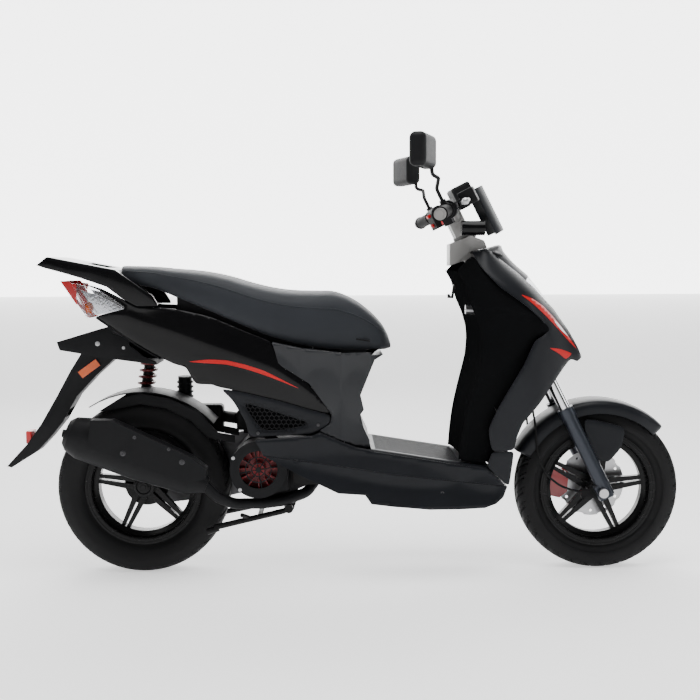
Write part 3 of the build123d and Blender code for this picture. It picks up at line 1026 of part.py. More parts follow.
mirror_body = Pos(768 + FRONT_SHIFT, -332, 1156) * (Rot(0, 0, -18) * fillet(Box(44, 138, 86).edges(), 16))
mirror_body -= rod((*MIRROR_PIN, 1090), (*MIRROR_PIN, 1138.3), 5 + RUN_FIT)
keep("mirror_right", mirror_body)
keep("mirror_left", mirrored(mirror_body))

dash = on_fork(fillet(Box(56, 136, 44).edges(), 8).moved(Location((52, 0, 924))))
dash += on_fork(Pos(46, 0, 893) * Box(26, 50, 24))
dash -= on_fork(Pos(4, 0, 800) * Box(RISER_T + 2 * SEAT_FIT, RISER_W + 2 * SEAT_FIT,
                                     2 * (CLAMP_Z + 18 - 800 + SEAT_FIT)))
SCREEN_R = 112.0
for y in (-30, 30):
    x_screen = sqrt(SCREEN_R ** 2 - y ** 2)
    dash += on_fork(Pos(60, y, 908) * (Rot(0, 90, 0) * Cylinder(4, x_screen - 60 - 1.6,
                                                                align=(Align.CENTER, Align.CENTER,
                                                                                          Align.MIN))))
dash += on_fork(Pos(16, 0, CLAMP_Z + 18 + SEAT_FIT + 11) * Box(30, 40, 22))
dash -= tube_path(bar_points, BAR_R + SEAT_FIT, 45)
dash -= riser
keep("instrument_cluster", dash.solids().sort_by(SortBy.VOLUME)[-1])
screen = fork_rod(0, 0, 778, 918, SCREEN_R + 4) - fork_rod(0, 0, 770, 930, SCREEN_R)
screen &= on_fork(Pos(100, 0, 850) * Box(60, 160, 200))
keep("flyscreen", screen.solids().sort_by(SortBy.VOLUME)[-1])

INDICATOR_Y, INDICATOR_Z = -100.0, 967.0
indicator = rod((892 + FRONT_SHIFT, INDICATOR_Y, INDICATOR_Z), (956 + FRONT_SHIFT, INDICATOR_Y, INDICATOR_Z),
                20)
arm_point = fork_point(10, -RISER_W / 2 - SEAT_FIT, 824)
arm_end = (arm_point[0], INDICATOR_Y + 10, arm_point[2])
indicator += rod(arm_point, arm_end, 6)
keep("front_indicators", both_sides(indicator.solids().sort_by(SortBy.VOLUME)[-1]))

for name, shape in PARTS.items():
    export_step(shape.moved(Location((-ORIGIN_AHEAD, 0, 0))), f"parts/{name}.step")
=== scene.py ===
"""Looks of the moped scooter. Lengths in the outlines are millimetres with the rear axle at x = 0."""
import math
import bmesh
import bpy
import numpy as np
from mathutils.bvhtree import BVHTree
from mathutils import Matrix, Vector


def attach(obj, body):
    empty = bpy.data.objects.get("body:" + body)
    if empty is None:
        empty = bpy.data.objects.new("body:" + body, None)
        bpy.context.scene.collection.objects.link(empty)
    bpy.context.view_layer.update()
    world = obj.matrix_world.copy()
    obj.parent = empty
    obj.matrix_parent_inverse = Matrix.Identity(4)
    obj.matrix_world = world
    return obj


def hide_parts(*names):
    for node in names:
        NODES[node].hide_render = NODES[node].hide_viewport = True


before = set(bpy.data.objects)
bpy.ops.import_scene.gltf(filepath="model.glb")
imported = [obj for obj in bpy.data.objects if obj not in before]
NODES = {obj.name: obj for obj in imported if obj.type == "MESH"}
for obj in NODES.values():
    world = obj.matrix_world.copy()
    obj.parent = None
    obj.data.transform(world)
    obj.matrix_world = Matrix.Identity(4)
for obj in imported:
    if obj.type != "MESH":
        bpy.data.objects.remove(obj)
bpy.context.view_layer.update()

ORIGIN_AHEAD = 567.2
MM = 0.001

CAMERA_YAW, CAMERA_PITCH, CAMERA_ROLL = 0.90, 4.19, -0.24
CAMERA_PLACE = (-0.0329, -3.300, 0.8673)
CAMERA_LENS, CAMERA_SENSOR = 59.7, 36.0
WORLD_LIGHT, FLOOR_GLOW, WALL_GLOW = 0.14, 0.85, 4.2

FRONT_AXLE_X, FRONT_AXLE_Z, FRONT_TYRE_R, FRONT_TYRE_W, FRONT_RIM_HALF = 1290, 229.4, 230.6, 110, 43
REAR_AXLE_X, REAR_AXLE_Z, REAR_TYRE_R, REAR_TYRE_W, REAR_RIM_HALF = 0, 243.4, 244.6, 130, 49
FRONT_HUB_Y, REAR_HUB_Y, BEAD_R = -49.0, -43.0, 153.5
TREAD_BLOCKS, TREAD_STEPS = 32, 640
SHOCK_Y = 101
SHOCK_TOP, SHOCK_LOW = (12, SHOCK_Y, 652), (-44, SHOCK_Y, 322)
SPRING_TURNS, SPRING_COIL_R, SPRING_WIRE_R = 8, 23.0, 4.0
SPRING_FROM, SPRING_TO = 0.16, 0.62


def at(x, y, z):
    """Millimetres from the rear axle's foot as metres in the row frame."""
    return Vector(((x - ORIGIN_AHEAD) * MM, y * MM, z * MM))


# ---------------------------------------------------------------- camera, light, floor
def place_camera():
    yaw, pitch, roll = (math.radians(a) for a in (CAMERA_YAW, CAMERA_PITCH, CAMERA_ROLL))
    forward = Vector((math.sin(yaw) * math.cos(pitch), math.cos(yaw) * math.cos(pitch), -math.sin(pitch)))
    right = Vector((math.cos(yaw), -math.sin(yaw), 0))
    up = right.cross(forward)
    right, up = (right * math.cos(roll) + up * math.sin(roll), up * math.cos(roll) - right * math.sin(roll))
    data = bpy.data.cameras.new("camera")
    data.lens, data.sensor_width = CAMERA_LENS, CAMERA_SENSOR
    camera = bpy.data.objects.new("camera", data)
    turn = Matrix((right, up, -forward)).transposed().to_4x4()
    camera.matrix_world = Matrix.Translation(CAMERA_PLACE) @ turn
    bpy.context.collection.objects.link(camera)
    bpy.context.scene.camera = camera


def soft_light(name, place, target, size, power):
    data = bpy.data.lights.new(name, "AREA")
    data.shape, data.size, data.energy = "SQUARE", size, power
    lamp = bpy.data.objects.new(name, data)
    lamp.location = place
    lamp.rotation_euler = (Vector(target) - Vector(place)).to_track_quat("-Z", "Y").to_euler()
    bpy.context.collection.objects.link(lamp)


def studio():
    world = bpy.data.worlds.new("studio")
    world.use_nodes = True
    world.node_tree.nodes["Background"].inputs["Color"].default_value = (1.0, 1.0, 1.0, 1)
    world.node_tree.nodes["Background"].inputs["Strength"].default_value = WORLD_LIGHT
    bpy.context.scene.world = world
    soft_light("light_above", (0.1, -0.7, 3.4), (0, 0, 0.4), 2.6, 120)
    soft_light("light_camera_side", (-2.4, -3.2, 2.8), (0, 0, 0.6), 1.4, 14)
    soft_light("light_front", (3.6, -1.2, 1.9), (0.4, 0, 0.6), 1.4, 26)
    soft_light("light_behind", (-1.0, 3.4, 2.6), (0, 0, 0.6), 2.2, 46)
    bpy.ops.mesh.primitive_plane_add(size=80, location=(0, 0, 0))
    floor = bpy.context.object
    floor.name = "studio_floor"
    floor.data.materials.append(finish("floor_pale", (0.93, 0.93, 0.93), 0.9, grain=60, depth=0.0,
                                       mottle=0.0, glow=FLOOR_GLOW, gloss=0.1))
    bpy.ops.mesh.primitive_plane_add(size=80, location=(0, 30, 0), rotation=(math.radians(90), 0, 0))
    wall = bpy.context.object
    wall.name = "studio_wall"
    wall.data.materials.append(finish("wall_pale", (0.93, 0.93, 0.93), 0.9, grain=60, depth=0.0, mottle=0.0,
                                      glow=WALL_GLOW, gloss=0.1))


# ---------------------------------------------------------------- materials
def finish(name, color, rough, metal=0.0, grain=900.0, depth=0.05, mottle=0.08, edge=0.0, coat=0.0,
           scuffs=0.06, cells=False, clear=0.0, ior=1.5, sheen=0.0, glow=0.0, second=None, gloss=0.5):
    """A surface with slow colour change, scuffed roughness, fine grain and softened edges."""
    mat = bpy.data.materials.new(name)
    mat.use_nodes = True
    tree = mat.node_tree
    shader = tree.nodes["Principled BSDF"]
    new, link = tree.nodes.new, tree.links.new
    coords = new("ShaderNodeTexCoord")

    slow = new("ShaderNodeTexNoise")
    slow.inputs["Scale"].default_value = 7.0
    slow.inputs["Detail"].default_value = 5.0
    link(coords.outputs["Object"], slow.inputs["Vector"])
    shade = new("ShaderNodeMix")
    shade.data_type = "RGBA"
    dark = [c * (1 - mottle) for c in color]
    light = [min(1.0, c * (1 + mottle) + 0.002) for c in (second or color)]
    shade.inputs["A"].default_value = (*dark, 1)
    shade.inputs["B"].default_value = (*light, 1)
    link(slow.outputs["Fac"], shade.inputs["Factor"])
    link(shade.outputs["Result"], shader.inputs["Base Color"])

    streak = new("ShaderNodeMapping")
    streak.inputs["Scale"].default_value = (30, 60, 90)
    link(coords.outputs["Object"], streak.inputs["Vector"])
    scuff = new("ShaderNodeTexNoise")
    scuff.inputs["Scale"].default_value = 1.0
    scuff.inputs["Detail"].default_value = 8.0
    link(streak.outputs["Vector"], scuff.inputs["Vector"])
    spread = new("ShaderNodeMapRange")
    spread.inputs["To Min"].default_value = max(0.02, rough - scuffs)
    spread.inputs["To Max"].default_value = min(1.0, rough + scuffs)
    link(scuff.outputs["Fac"], spread.inputs["Value"])
    link(spread.outputs["Result"], shader.inputs["Roughness"])

    if cells:
        fine = new("ShaderNodeTexVoronoi")
        fine.feature = "DISTANCE_TO_EDGE"
        height = fine.outputs["Distance"]
    else:
        fine = new("ShaderNodeTexNoise")
        fine.inputs["Detail"].default_value = 3.0
        height = fine.outputs["Fac"]
    fine.inputs["Scale"].default_value = grain
    link(coords.outputs["Object"], fine.inputs["Vector"])
    bump = new("ShaderNodeBump")
    bump.inputs["Strength"].default_value = depth
    bump.inputs["Distance"].default_value = 0.001
    link(height, bump.inputs["Height"])
    if edge:
        soft = new("ShaderNodeBevel")
        soft.samples = 4
        soft.inputs["Radius"].default_value = edge * MM
        link(soft.outputs["Normal"], bump.inputs["Normal"])
    link(bump.outputs["Normal"], shader.inputs["Normal"])

    shader.inputs["Metallic"].default_value = metal
    shader.inputs["IOR"].default_value = ior
    shader.inputs["Specular IOR Level"].default_value = gloss
    shader.inputs["Coat Weight"].default_value = coat
    shader.inputs["Coat Roughness"].default_value = 0.04
    shader.inputs["Sheen Weight"].default_value = sheen
    shader.inputs["Transmission Weight"].default_value = clear
    if glow:
        shader.inputs["Emission Color"].default_value = (*color, 1)
        shader.inputs["Emission Strength"].default_value = glow
    return mat


M = {
    "body": finish("satin_black_body", (0.0065, 0.0072, 0.0090), 0.38, edge=2.0, grain=1400, depth=0.05,
                   gloss=0.14, second=(0.0085, 0.0095, 0.0120)),
    "trim": finish("grained_black_trim", (0.0060, 0.0062, 0.0070), 0.52, edge=1.2, grain=700, depth=0.22,
                   gloss=0.12),
    # deep: black with no specular reflection; the leg shield's black plastic, and painted shade in the rear
    # liner behind the seams and the grille.
    "deep": finish("matte_black_and_painted_shade", (0.0040, 0.0042, 0.0046), 0.85, grain=600, depth=0.12, gloss=0.0),
    "cover": finish("dark_grey_cover", (0.0150, 0.0160, 0.0185), 0.42, edge=2.0, grain=1200, depth=0.06,
                    gloss=0.30),
    "grey_trim": finish("grey_hood_plastic", (0.040, 0.041, 0.044), 0.34, edge=1.5, grain=900, depth=0.06,
                        gloss=0.45),
    "gloss": finish("gloss_black_lacquer", (0.0020, 0.0020, 0.0024), 0.16, edge=2.0, grain=500, depth=0.01,
                    coat=0.03, scuffs=0.04, gloss=0.16),
    "vinyl": finish("charcoal_vinyl", (0.0135, 0.0155, 0.0195), 0.56, grain=520, depth=0.35, cells=True,
                    sheen=0.06, gloss=0.20, second=(0.0165, 0.019, 0.0235)),
    "frame": finish("black_powder_coat", (0.0045, 0.0045, 0.0048), 0.42, edge=0.8, grain=900, depth=0.14,
                    gloss=0.14),
    "fork": finish("blue_grey_fork_paint", (0.020, 0.024, 0.033), 0.30, metal=0.5, edge=1.0, grain=900,
                   depth=0.05),
    "chrome": finish("chrome_plate", (0.62, 0.62, 0.64), 0.08, metal=1.0, grain=300, depth=0.01, scuffs=0.05),
    "steel": finish("zinc_steel", (0.46, 0.46, 0.47), 0.32, metal=1.0, edge=0.6, grain=700, depth=0.08,
                    scuffs=0.12),
    "dark_steel": finish("dark_steel", (0.06, 0.06, 0.063), 0.42, metal=0.9, edge=0.6, grain=500,
                         depth=0.12, scuffs=0.14),
    "cast": finish("cast_aluminium", (0.12, 0.12, 0.125), 0.50, metal=0.85, edge=1.5, grain=420, depth=0.45,
                   scuffs=0.14),
    "engine": finish("engine_black_cast", (0.0075, 0.0075, 0.0080), 0.50, metal=0.3, edge=1.5, grain=420,
                     depth=0.4, gloss=0.14),
    "silver": finish("silver_grey_plastic", (0.19, 0.186, 0.181), 0.36, edge=2.0, grain=900, depth=0.08,
                     second=(0.24, 0.236, 0.230)),
    "rubber": finish("soft_rubber", (0.0060, 0.0060, 0.0065), 0.66, edge=0.6, grain=600, depth=0.2,
                     gloss=0.14),
    "tyre": finish("tyre_rubber", (0.0080, 0.0080, 0.0085), 0.60, grain=500, depth=0.25, mottle=0.25,
                   gloss=0.13),
    "wheel": finish("black_wheel_paint", (0.0035, 0.0035, 0.0038), 0.26, edge=1.5, grain=700, depth=0.06,
                    coat=0.02, gloss=0.13),
    "red": finish("red_gloss_plastic", (0.50, 0.010, 0.012), 0.28, edge=0.6, grain=700, depth=0.04),
    "red_paint": finish("red_metal_paint", (0.40, 0.010, 0.014), 0.30, edge=0.8, grain=500, depth=0.06,
                        coat=0.3),
    "spring_red": finish("dark_red_spring", (0.14, 0.008, 0.010), 0.34, grain=500, depth=0.06, coat=0.2),
    "fan_red": finish("fan_red", (0.26, 0.010, 0.014), 0.42, edge=0.6, grain=500, depth=0.06),
    "stripe": finish("red_stripe_film", (0.42, 0.003, 0.004), 0.34, grain=900, depth=0.02, coat=0.05,
                     gloss=0.2, second=(0.52, 0.006, 0.006)),
    "pale_film": finish("pale_edge_film", (0.62, 0.62, 0.64), 0.25, grain=900, depth=0.02, coat=0.3),
    "red_lens": finish("red_lens", (0.46, 0.002, 0.003), 0.12, grain=260, depth=0.10, clear=0.2, coat=0.5),
    "clear_lens": finish("clear_lens", (0.93, 0.94, 0.96), 0.05, grain=200, depth=0.02, clear=0.97,
                         ior=1.35, mottle=0.01, scuffs=0.02),
    "amber": finish("amber_lens", (0.60, 0.085, 0.002), 0.14, grain=260, depth=0.3, cells=True, coat=0.4),
    "reflector": finish("lamp_reflector", (0.72, 0.72, 0.74), 0.14, metal=1.0, grain=90, depth=0.5,
                        cells=True),
}


# ---------------------------------------------------------------- curves and outlines
def smooth_curve(points):
    """A smooth function through (x, value) points, with level slopes carried over from the neighbours."""
    xs = np.array([p[0] for p in points], float)
    vs = np.array([p[1] for p in points], float)
    slopes = np.gradient(vs, xs)

    def value(x):
        x = np.clip(x, xs[0], xs[-1])
        i = np.clip(np.searchsorted(xs, x) - 1, 0, len(xs) - 2)
        h = xs[i + 1] - xs[i]
        t = (x - xs[i]) / h
        return ((2 * t ** 3 - 3 * t ** 2 + 1) * vs[i] + (t ** 3 - 2 * t ** 2 + t) * h * slopes[i]
                + (-2 * t ** 3 + 3 * t ** 2) * vs[i + 1] + (t ** 3 - t ** 2) * h * slopes[i + 1])
    return value


def rounded_path(points, count):
    """count points, evenly spaced, along a smooth line through the given ones."""
    pts = np.array(points, float)
    ends = np.vstack([2 * pts[0] - pts[1], pts, 2 * pts[-1] - pts[-2]])
    fine = []
    for a, b, c, d in zip(ends, ends[1:], ends[2:], ends[3:]):
        for t in np.linspace(0, 1, 16, endpoint=False):
            fine.append(0.5 * (2 * b + (c - a) * t + (2 * a - 5 * b + 4 * c - d) * t ** 2
                               + (3 * b - a - 3 * c + d) * t ** 3))
    fine = np.array(fine + [pts[-1]])
    run = np.concatenate([[0], np.cumsum(np.linalg.norm(np.diff(fine, axis=0), axis=1))])
    places = np.linspace(0, run[-1], count)
    return np.stack([np.interp(places, run, fine[:, k]) for k in range(fine.shape[1])], axis=1)


# ---------------------------------------------------------------- pieces
def shade(mesh, angle=38):
    mesh.shade_smooth()
    mesh.set_sharp_from_angle(angle=math.radians(angle))


def add_piece(name, bm, body, materials, slot=None, replaces=(), angle=38, recalc=True):
    """Turns a bmesh (metres) into a named piece that rides on a body."""
    if recalc:
        bmesh.ops.recalc_face_normals(bm, faces=bm.faces)
    mesh = bpy.data.meshes.new(name)
    bm.to_mesh(mesh)
    bm.free()
    for material in materials if isinstance(materials, list) else [materials]:
        mesh.materials.append(material)
    shade(mesh, angle)
    obj = bpy.data.objects.new(name, mesh)
    bpy.context.collection.objects.link(obj)
    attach(obj, body)
    if replaces:
        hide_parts(*replaces)
    return obj


def sheet_faces(bm, rows):
    """Fills between open rows of vertices."""
    for a, b in zip(rows, rows[1:]):
        for k in range(len(a) - 1):
            bm.faces.new((a[k], a[k + 1], b[k + 1], b[k]))


def ring_faces(bm, rings):
    """Fills between closed rings of vertices."""
    for a, b in zip(rings, rings[1:]):
        for k in range(len(a)):
            m = (k + 1) % len(a)
            bm.faces.new((a[k], a[m], b[m], b[k]))


def lathe_into(bm, profile, centre, axis, segments=48, index=0, closed=False):
    """Turns (along, radius) pairs, in mm, about an axis through centre (metres)."""
    axis = Vector(axis).normalized()
    side = axis.orthogonal().normalized()
    other = axis.cross(side)
    rings = []
    for along, radius in profile:
        ring = []
        for n in range(segments):
            a = 2 * math.pi * n / segments
            offset = axis * along + (side * math.cos(a) + other * math.sin(a)) * max(radius, 0.01)
            ring.append(bm.verts.new(Vector(centre) + offset * MM))
        rings.append(ring)
    pairs = list(zip(rings, rings[1:])) + ([(rings[-1], rings[0])] if closed else [])
    for low, high in pairs:
        for n in range(segments):
            m = (n + 1) % segments
            bm.faces.new((low[n], low[m], high[m], high[n])).material_index = index
    if not closed:
        bm.faces.new(rings[0]).material_index = index
        bm.faces.new(list(reversed(rings[-1]))).material_index = index


def tube_into(bm, points, radius, sides=14, index=0):
    """A round tube along points in metres; radius in mm, one value or one for each point."""
    pts = [Vector(p) for p in points]
    radii = radius if isinstance(radius, (list, tuple)) else [radius] * len(pts)
    tangent = (pts[1] - pts[0]).normalized()
    side = tangent.orthogonal().normalized()
    rings = []
    for n, p in enumerate(pts):
        ahead = (pts[min(n + 1, len(pts) - 1)] - pts[max(n - 1, 0)]).normalized()
        side = (side - ahead * side.dot(ahead)).normalized()
        other = ahead.cross(side)
        rings.append([bm.verts.new(p + (side * math.cos(2 * math.pi * k / sides)
                                        + other * math.sin(2 * math.pi * k / sides)) * radii[n] * MM)
                      for k in range(sides)])
    for low, high in zip(rings, rings[1:]):
        for k in range(sides):
            m = (k + 1) % sides
            bm.faces.new((low[k], low[m], high[m], high[k])).material_index = index
    bm.faces.new(rings[0]).material_index = index
    bm.faces.new(list(reversed(rings[-1]))).material_index = index


def bolt_into(bm, centre, axis, radius, index=0):
    """A socket-head bolt on a washer; centre is where the washer meets its seat."""
    r = radius
    washer = [(0, r * 1.45), (0.8, r * 1.45), (1.0, r * 1.38), (1.0, r * 1.02)]
    head = [(0.9 * r, r), (1.05 * r, 0.92 * r), (1.05 * r, 0.55 * r), (0.5 * r, 0.5 * r)]
    lathe_into(bm, washer + head, centre, axis, 18, index)


def bolts(name, body, entries, material, slot):
    bm = bmesh.new()
    for place, axis, radius in entries:
        bolt_into(bm, at(*place), axis, radius)
    return add_piece(name, bm, body, material, slot)


def cad_copy(node, merge=False):
    """A CAD node's mesh in the row frame; merge joins its flat triangles into whole faces."""
    bm = bmesh.new()
    bm.from_mesh(NODES[node].data)
    bm.transform(NODES[node].matrix_world)
    if merge:
        bmesh.ops.remove_doubles(bm, verts=bm.verts, dist=2e-6)
        bmesh.ops.dissolve_limit(bm, angle_limit=math.radians(0.4), verts=bm.verts, edges=bm.edges)
    return bm


def cut_across(bm, axis, place, tolerance):
    """Splits every face that crosses the plane at a place on an axis (0, 1 or 2)."""
    point, normal = [0, 0, 0], [0, 0, 0]
    point[axis], normal[axis] = place, 1
    bmesh.ops.bisect_plane(bm, geom=bm.verts[:] + bm.edges[:] + bm.faces[:], plane_co=point,
                           plane_no=normal, dist=tolerance)


def restyle(node, body, materials, warp=None, step=12.0, pick=None, slot=None, keep_axes="xz", name=None,
            angle=38):
    """A finer copy of a CAD node with its flat faces drawn out into curved ones; outlines and holes stay."""
    bm = cad_copy(node, merge=True)
    if warp:
        low = [min(v.co[k] for v in bm.verts) for k in range(3)]
        high = [max(v.co[k] for v in bm.verts) for k in range(3)]
        for k, letter in enumerate("xyz"):
            if letter not in keep_axes:
                continue
            count = int((high[k] - low[k]) / (step * MM))
            for n in range(1, count + 1):
                cut_across(bm, k, low[k] + (high[k] - low[k]) * n / (count + 1), 1e-6)
        bmesh.ops.triangulate(bm, faces=bm.faces)
        for v in bm.verts:
            x, y, z = v.co.x / MM + ORIGIN_AHEAD, v.co.y / MM, v.co.z / MM
            v.co = at(*warp(x, y, z))
    if pick:
        for face in bm.faces:
            c = face.calc_center_median()
            face.material_index = pick(c.x / MM + ORIGIN_AHEAD, c.y / MM, c.z / MM)
    return add_piece(name or node + "_skin", bm, body, materials, slot, (node,), angle, recalc=False)


# ---------------------------------------------------------------- body widths
REAR_PLAN = [(-300, 20), (-236, 52), (-170, 80), (-100, 106), (0, 134), (100, 150), (250, 160), (450, 160),
             (560, 148), (640, 122), (704, 82), (760, 30)]
REAR_MIDDLE = smooth_curve([(-300, 800), (-100, 765), (0, 712), (100, 672), (230, 610), (400, 560),
                            (520, 520), (760, 510)])
REAR_REACH = smooth_curve([(-300, 70), (0, 85), (200, 95), (400, 125), (760, 150)])
REAR_SMOOTH = smooth_curve(REAR_PLAN)


def rear_width(x, z):
    """Half width of the rear bodywork, tucked in above and below its middle line."""
    tuck = min(16.0, 10.0 * ((z - REAR_MIDDLE(x)) / REAR_REACH(x)) ** 2)
    return float(REAR_SMOOTH(x)) - tuck


def rear_warp(x, y, z):
    cad = np.interp(x, [p[0] for p in REAR_PLAN], [p[1] for p in REAR_PLAN])
    share = min(1.0, abs(y) / max(cad - 4, 1))
    return x, y + math.copysign((rear_width(x, z) - cad) * share ** 2, y), z


SHIELD_PLAN = [(840, 190), (1050, 190), (1100, 168), (1150, 132), (1200, 86), (1246, 40)]
SHIELD_FRONT = [(150, 240), (158, 320), (168, 400), (180, 500), (190, 600), (192, 700), (188, 760),
                (165, 835), (126, 890), (92, 930)]
SHIELD_PLAN_SMOOTH = smooth_curve([(840, 186)] + SHIELD_PLAN[1:])
SHIELD_FRONT_SMOOTH = smooth_curve([(z, w) for w, z in SHIELD_FRONT])


def shield_width(x, z):
    """The plan and front views met by a soft corner."""
    a, b, k = float(SHIELD_PLAN_SMOOTH(x)), float(SHIELD_FRONT_SMOOTH(z)), 10.0
    return -k * math.log(math.exp(-(a - 150) / k) + math.exp(-(b - 150) / k)) + 150


FLOOR_PLAN = [(320, 160), (880, 160), (1000, 150), (1040, 138)]
FLOOR_SMOOTH = smooth_curve(FLOOR_PLAN)
FLOOR_TOP_Z = [(325, 395), (480, 405), (500, 414), (560, 388), (600, 372), (637, 365), (923, 319), (957, 313)]
CREASE_Z = [(345, 350), (550, 321), (700, 296), (801, 283), (901, 272), (1006, 260)]


def line(points, x):
    return float(np.interp(x, [p[0] for p in points], [p[1] for p in points]))


def floor_width(x, z):
    """The floor's side: widest at the crease, leaning in above it and tucked under below it."""
    crease = line(CREASE_Z, x)
    lean = 7.0 * max(0.0, z - crease) / 60 if z > crease else 26.0 * (max(0.0, crease - z) / 80) ** 1.6
    return float(FLOOR_SMOOTH(x)) - lean


def floor_warp(x, y, z):
    cad = np.interp(x, [p[0] for p in FLOOR_PLAN], [p[1] for p in FLOOR_PLAN])
    share = min(1.0, abs(y) / (cad - 4))
    new_y = y + math.copysign((floor_width(x, z) - cad) * share ** 4, y)
    edge = max(0.0, abs(y) - (cad - 14)) / 14
    near_top = max(0.0, 1 - max(0.0, line(FLOOR_TOP_Z, x) - z) / 25)
    fall = 8.0 * (1 - math.sqrt(max(0.0, 1 - min(edge, 1.0) ** 2))) * near_top
    return x, new_y, z - fall


def cut_corners(points, share=0.14, rounds=2):
    """The closed outline with each corner rounded off a little."""
    for _ in range(rounds):
        new = []
        for (x0, z0), (x1, z1) in zip(points, points[1:] + points[:1]):
            new.append((x0 + (x1 - x0) * share, z0 + (z1 - z0) * share))
            new.append((x1 + (x0 - x1) * share, z1 + (z0 - z1) * share))
        points = new
        share = 0.25
    return points


def edge_distance(outline, x, z):
    a = np.array(outline)
    b = np.roll(a, -1, axis=0)
    run = b - a
    t = np.clip(((x - a[:, 0]) * run[:, 0] + (z - a[:, 1]) * run[:, 1]) / np.maximum((run ** 2).sum(1),
                                                                                     1e-9), 0, 1)
    near = a + run * t[:, None]
    return float(np.min(np.hypot(x - near[:, 0], z - near[:, 1])))


def flank_into(bm, outline, width, side, thick=3.0, roll=1.8, reach=6.0, step=9.0, index=0, lift=0.0):
    """A curved skin over a side-view outline; width(x, z) gives its distance from the middle plane."""
    part = bmesh.new()
    part.faces.new([part.verts.new((x, 0, z)) for x, z in outline])
    for k in (0, 2):
        low = min(p[k // 2] for p in outline)
        high = max(p[k // 2] for p in outline)
        count = max(1, int((high - low) / step))
        for n in range(1, count + 1):
            cut_across(part, k, low + (high - low) * n / (count + 1), 1e-4)
    bmesh.ops.triangulate(part, faces=[f for f in part.faces if len(f.verts) > 4])
    new = {}
    back = {}
    for v in part.verts:
        x, z = v.co.x, v.co.z
        gap = edge_distance(outline, x, z)
        drop = roll * max(0.0, 1 - gap / reach) ** 2
        y = width(x, z) + lift - drop
        new[v] = bm.verts.new(at(x, side * y, z))
        back[v] = bm.verts.new(at(x, side * (y - thick), z))
    for f in part.faces:
        order = list(f.verts)
        bm.faces.new([new[v] for v in order]).material_index = index
        bm.faces.new([back[v] for v in reversed(order)]).material_index = index
    for e in part.edges:
        if e.is_boundary:
            v0, v1 = e.verts
            bm.faces.new((new[v0], new[v1], back[v1], back[v0])).material_index = index
    part.free()


def flanks(name, outline, width, body, material, slot, replaces=(), **kw):
    """The same skin on both sides of the machine, as one piece."""
    bm = bmesh.new()
    for side in (-1, 1):
        flank_into(bm, cut_corners(outline), width, side, **kw)
    return add_piece(name, bm, body, material, slot, replaces, angle=50)


SHIELD_REAR = [(872, 850), (892, 819), (906, 768), (924, 726), (936, 684), (938, 647), (934, 601),
               (922, 554), (899, 466), (887, 396), (880, 330)]
ARCH = [(1224, 594), (1201, 603), (1175, 580), (1138, 536), (1101, 489), (1064, 447), (1054, 436),
        (1040, 401), (1031, 359)]
WING_TOP = [(920, 902), (955, 911), (975, 905), (1008, 878), (1050, 846), (1101, 801), (1156, 742),
            (1200, 680), (1232, 622), (1240, 605)]
WING_LOW = [(970, 356), (959, 420), (989, 485), (1029, 554), (1054, 596), (1077, 645), (1086, 661),
            (1112, 675), (1124, 684), (1124, 694), (1101, 721), (1050, 763), (989, 805), (943, 856)]
VENT_CLEAR_HALF = 151.4


def top_line_depth(x, z):
    """How far a point lies below the wing's top edge."""
    best = 1e9
    for (x0, z0), (x1, z1) in zip(WING_TOP, WING_TOP[1:]):
        dx, dz = x1 - x0, z1 - z0
        t = max(0.0, min(1.0, ((x - x0) * dx + (z - z0) * dz) / (dx * dx + dz * dz)))
        best = min(best, math.hypot(x - x0 - dx * t, z - z0 - dz * t))
    return best


def wing_width(x, z):
    """Full width on the flank, rolling over to the headlight along the top edge."""
    full = shield_width(x, z)
    share = min(1.0, top_line_depth(x, z) / 85.0)
    rim = min(full, 62.0 + 26 * max(0.0, min(1.0, (1120 - x) / 180)))
    return rim + (full - rim) * math.sqrt(1 - (1 - share) ** 2)


def inner_width(x, z):
    """The leg shield's side: a hollow behind the wing's edge that flares out again at the rear."""
    rear = float(np.interp(z, [p[1] for p in SHIELD_REAR[::-1]], [p[0] for p in SHIELD_REAR[::-1]]))
    ahead = max(0.0, min(1.0, (x - rear) / 110))
    upper = max(0.0, min(1.0, (z - 745 + (x - 917) * 0.16) / 14))
    lower = max(0.0, min(1.0, (536 + (x - 943) * 0.87 - z) / 16))
    hollow = 5.0 + 15.0 * math.sin(math.pi * min(1.0, 0.5 * ahead)) - 6.0 * upper + 5.0 * lower
    return shield_width(min(x, 1090), z) - hollow


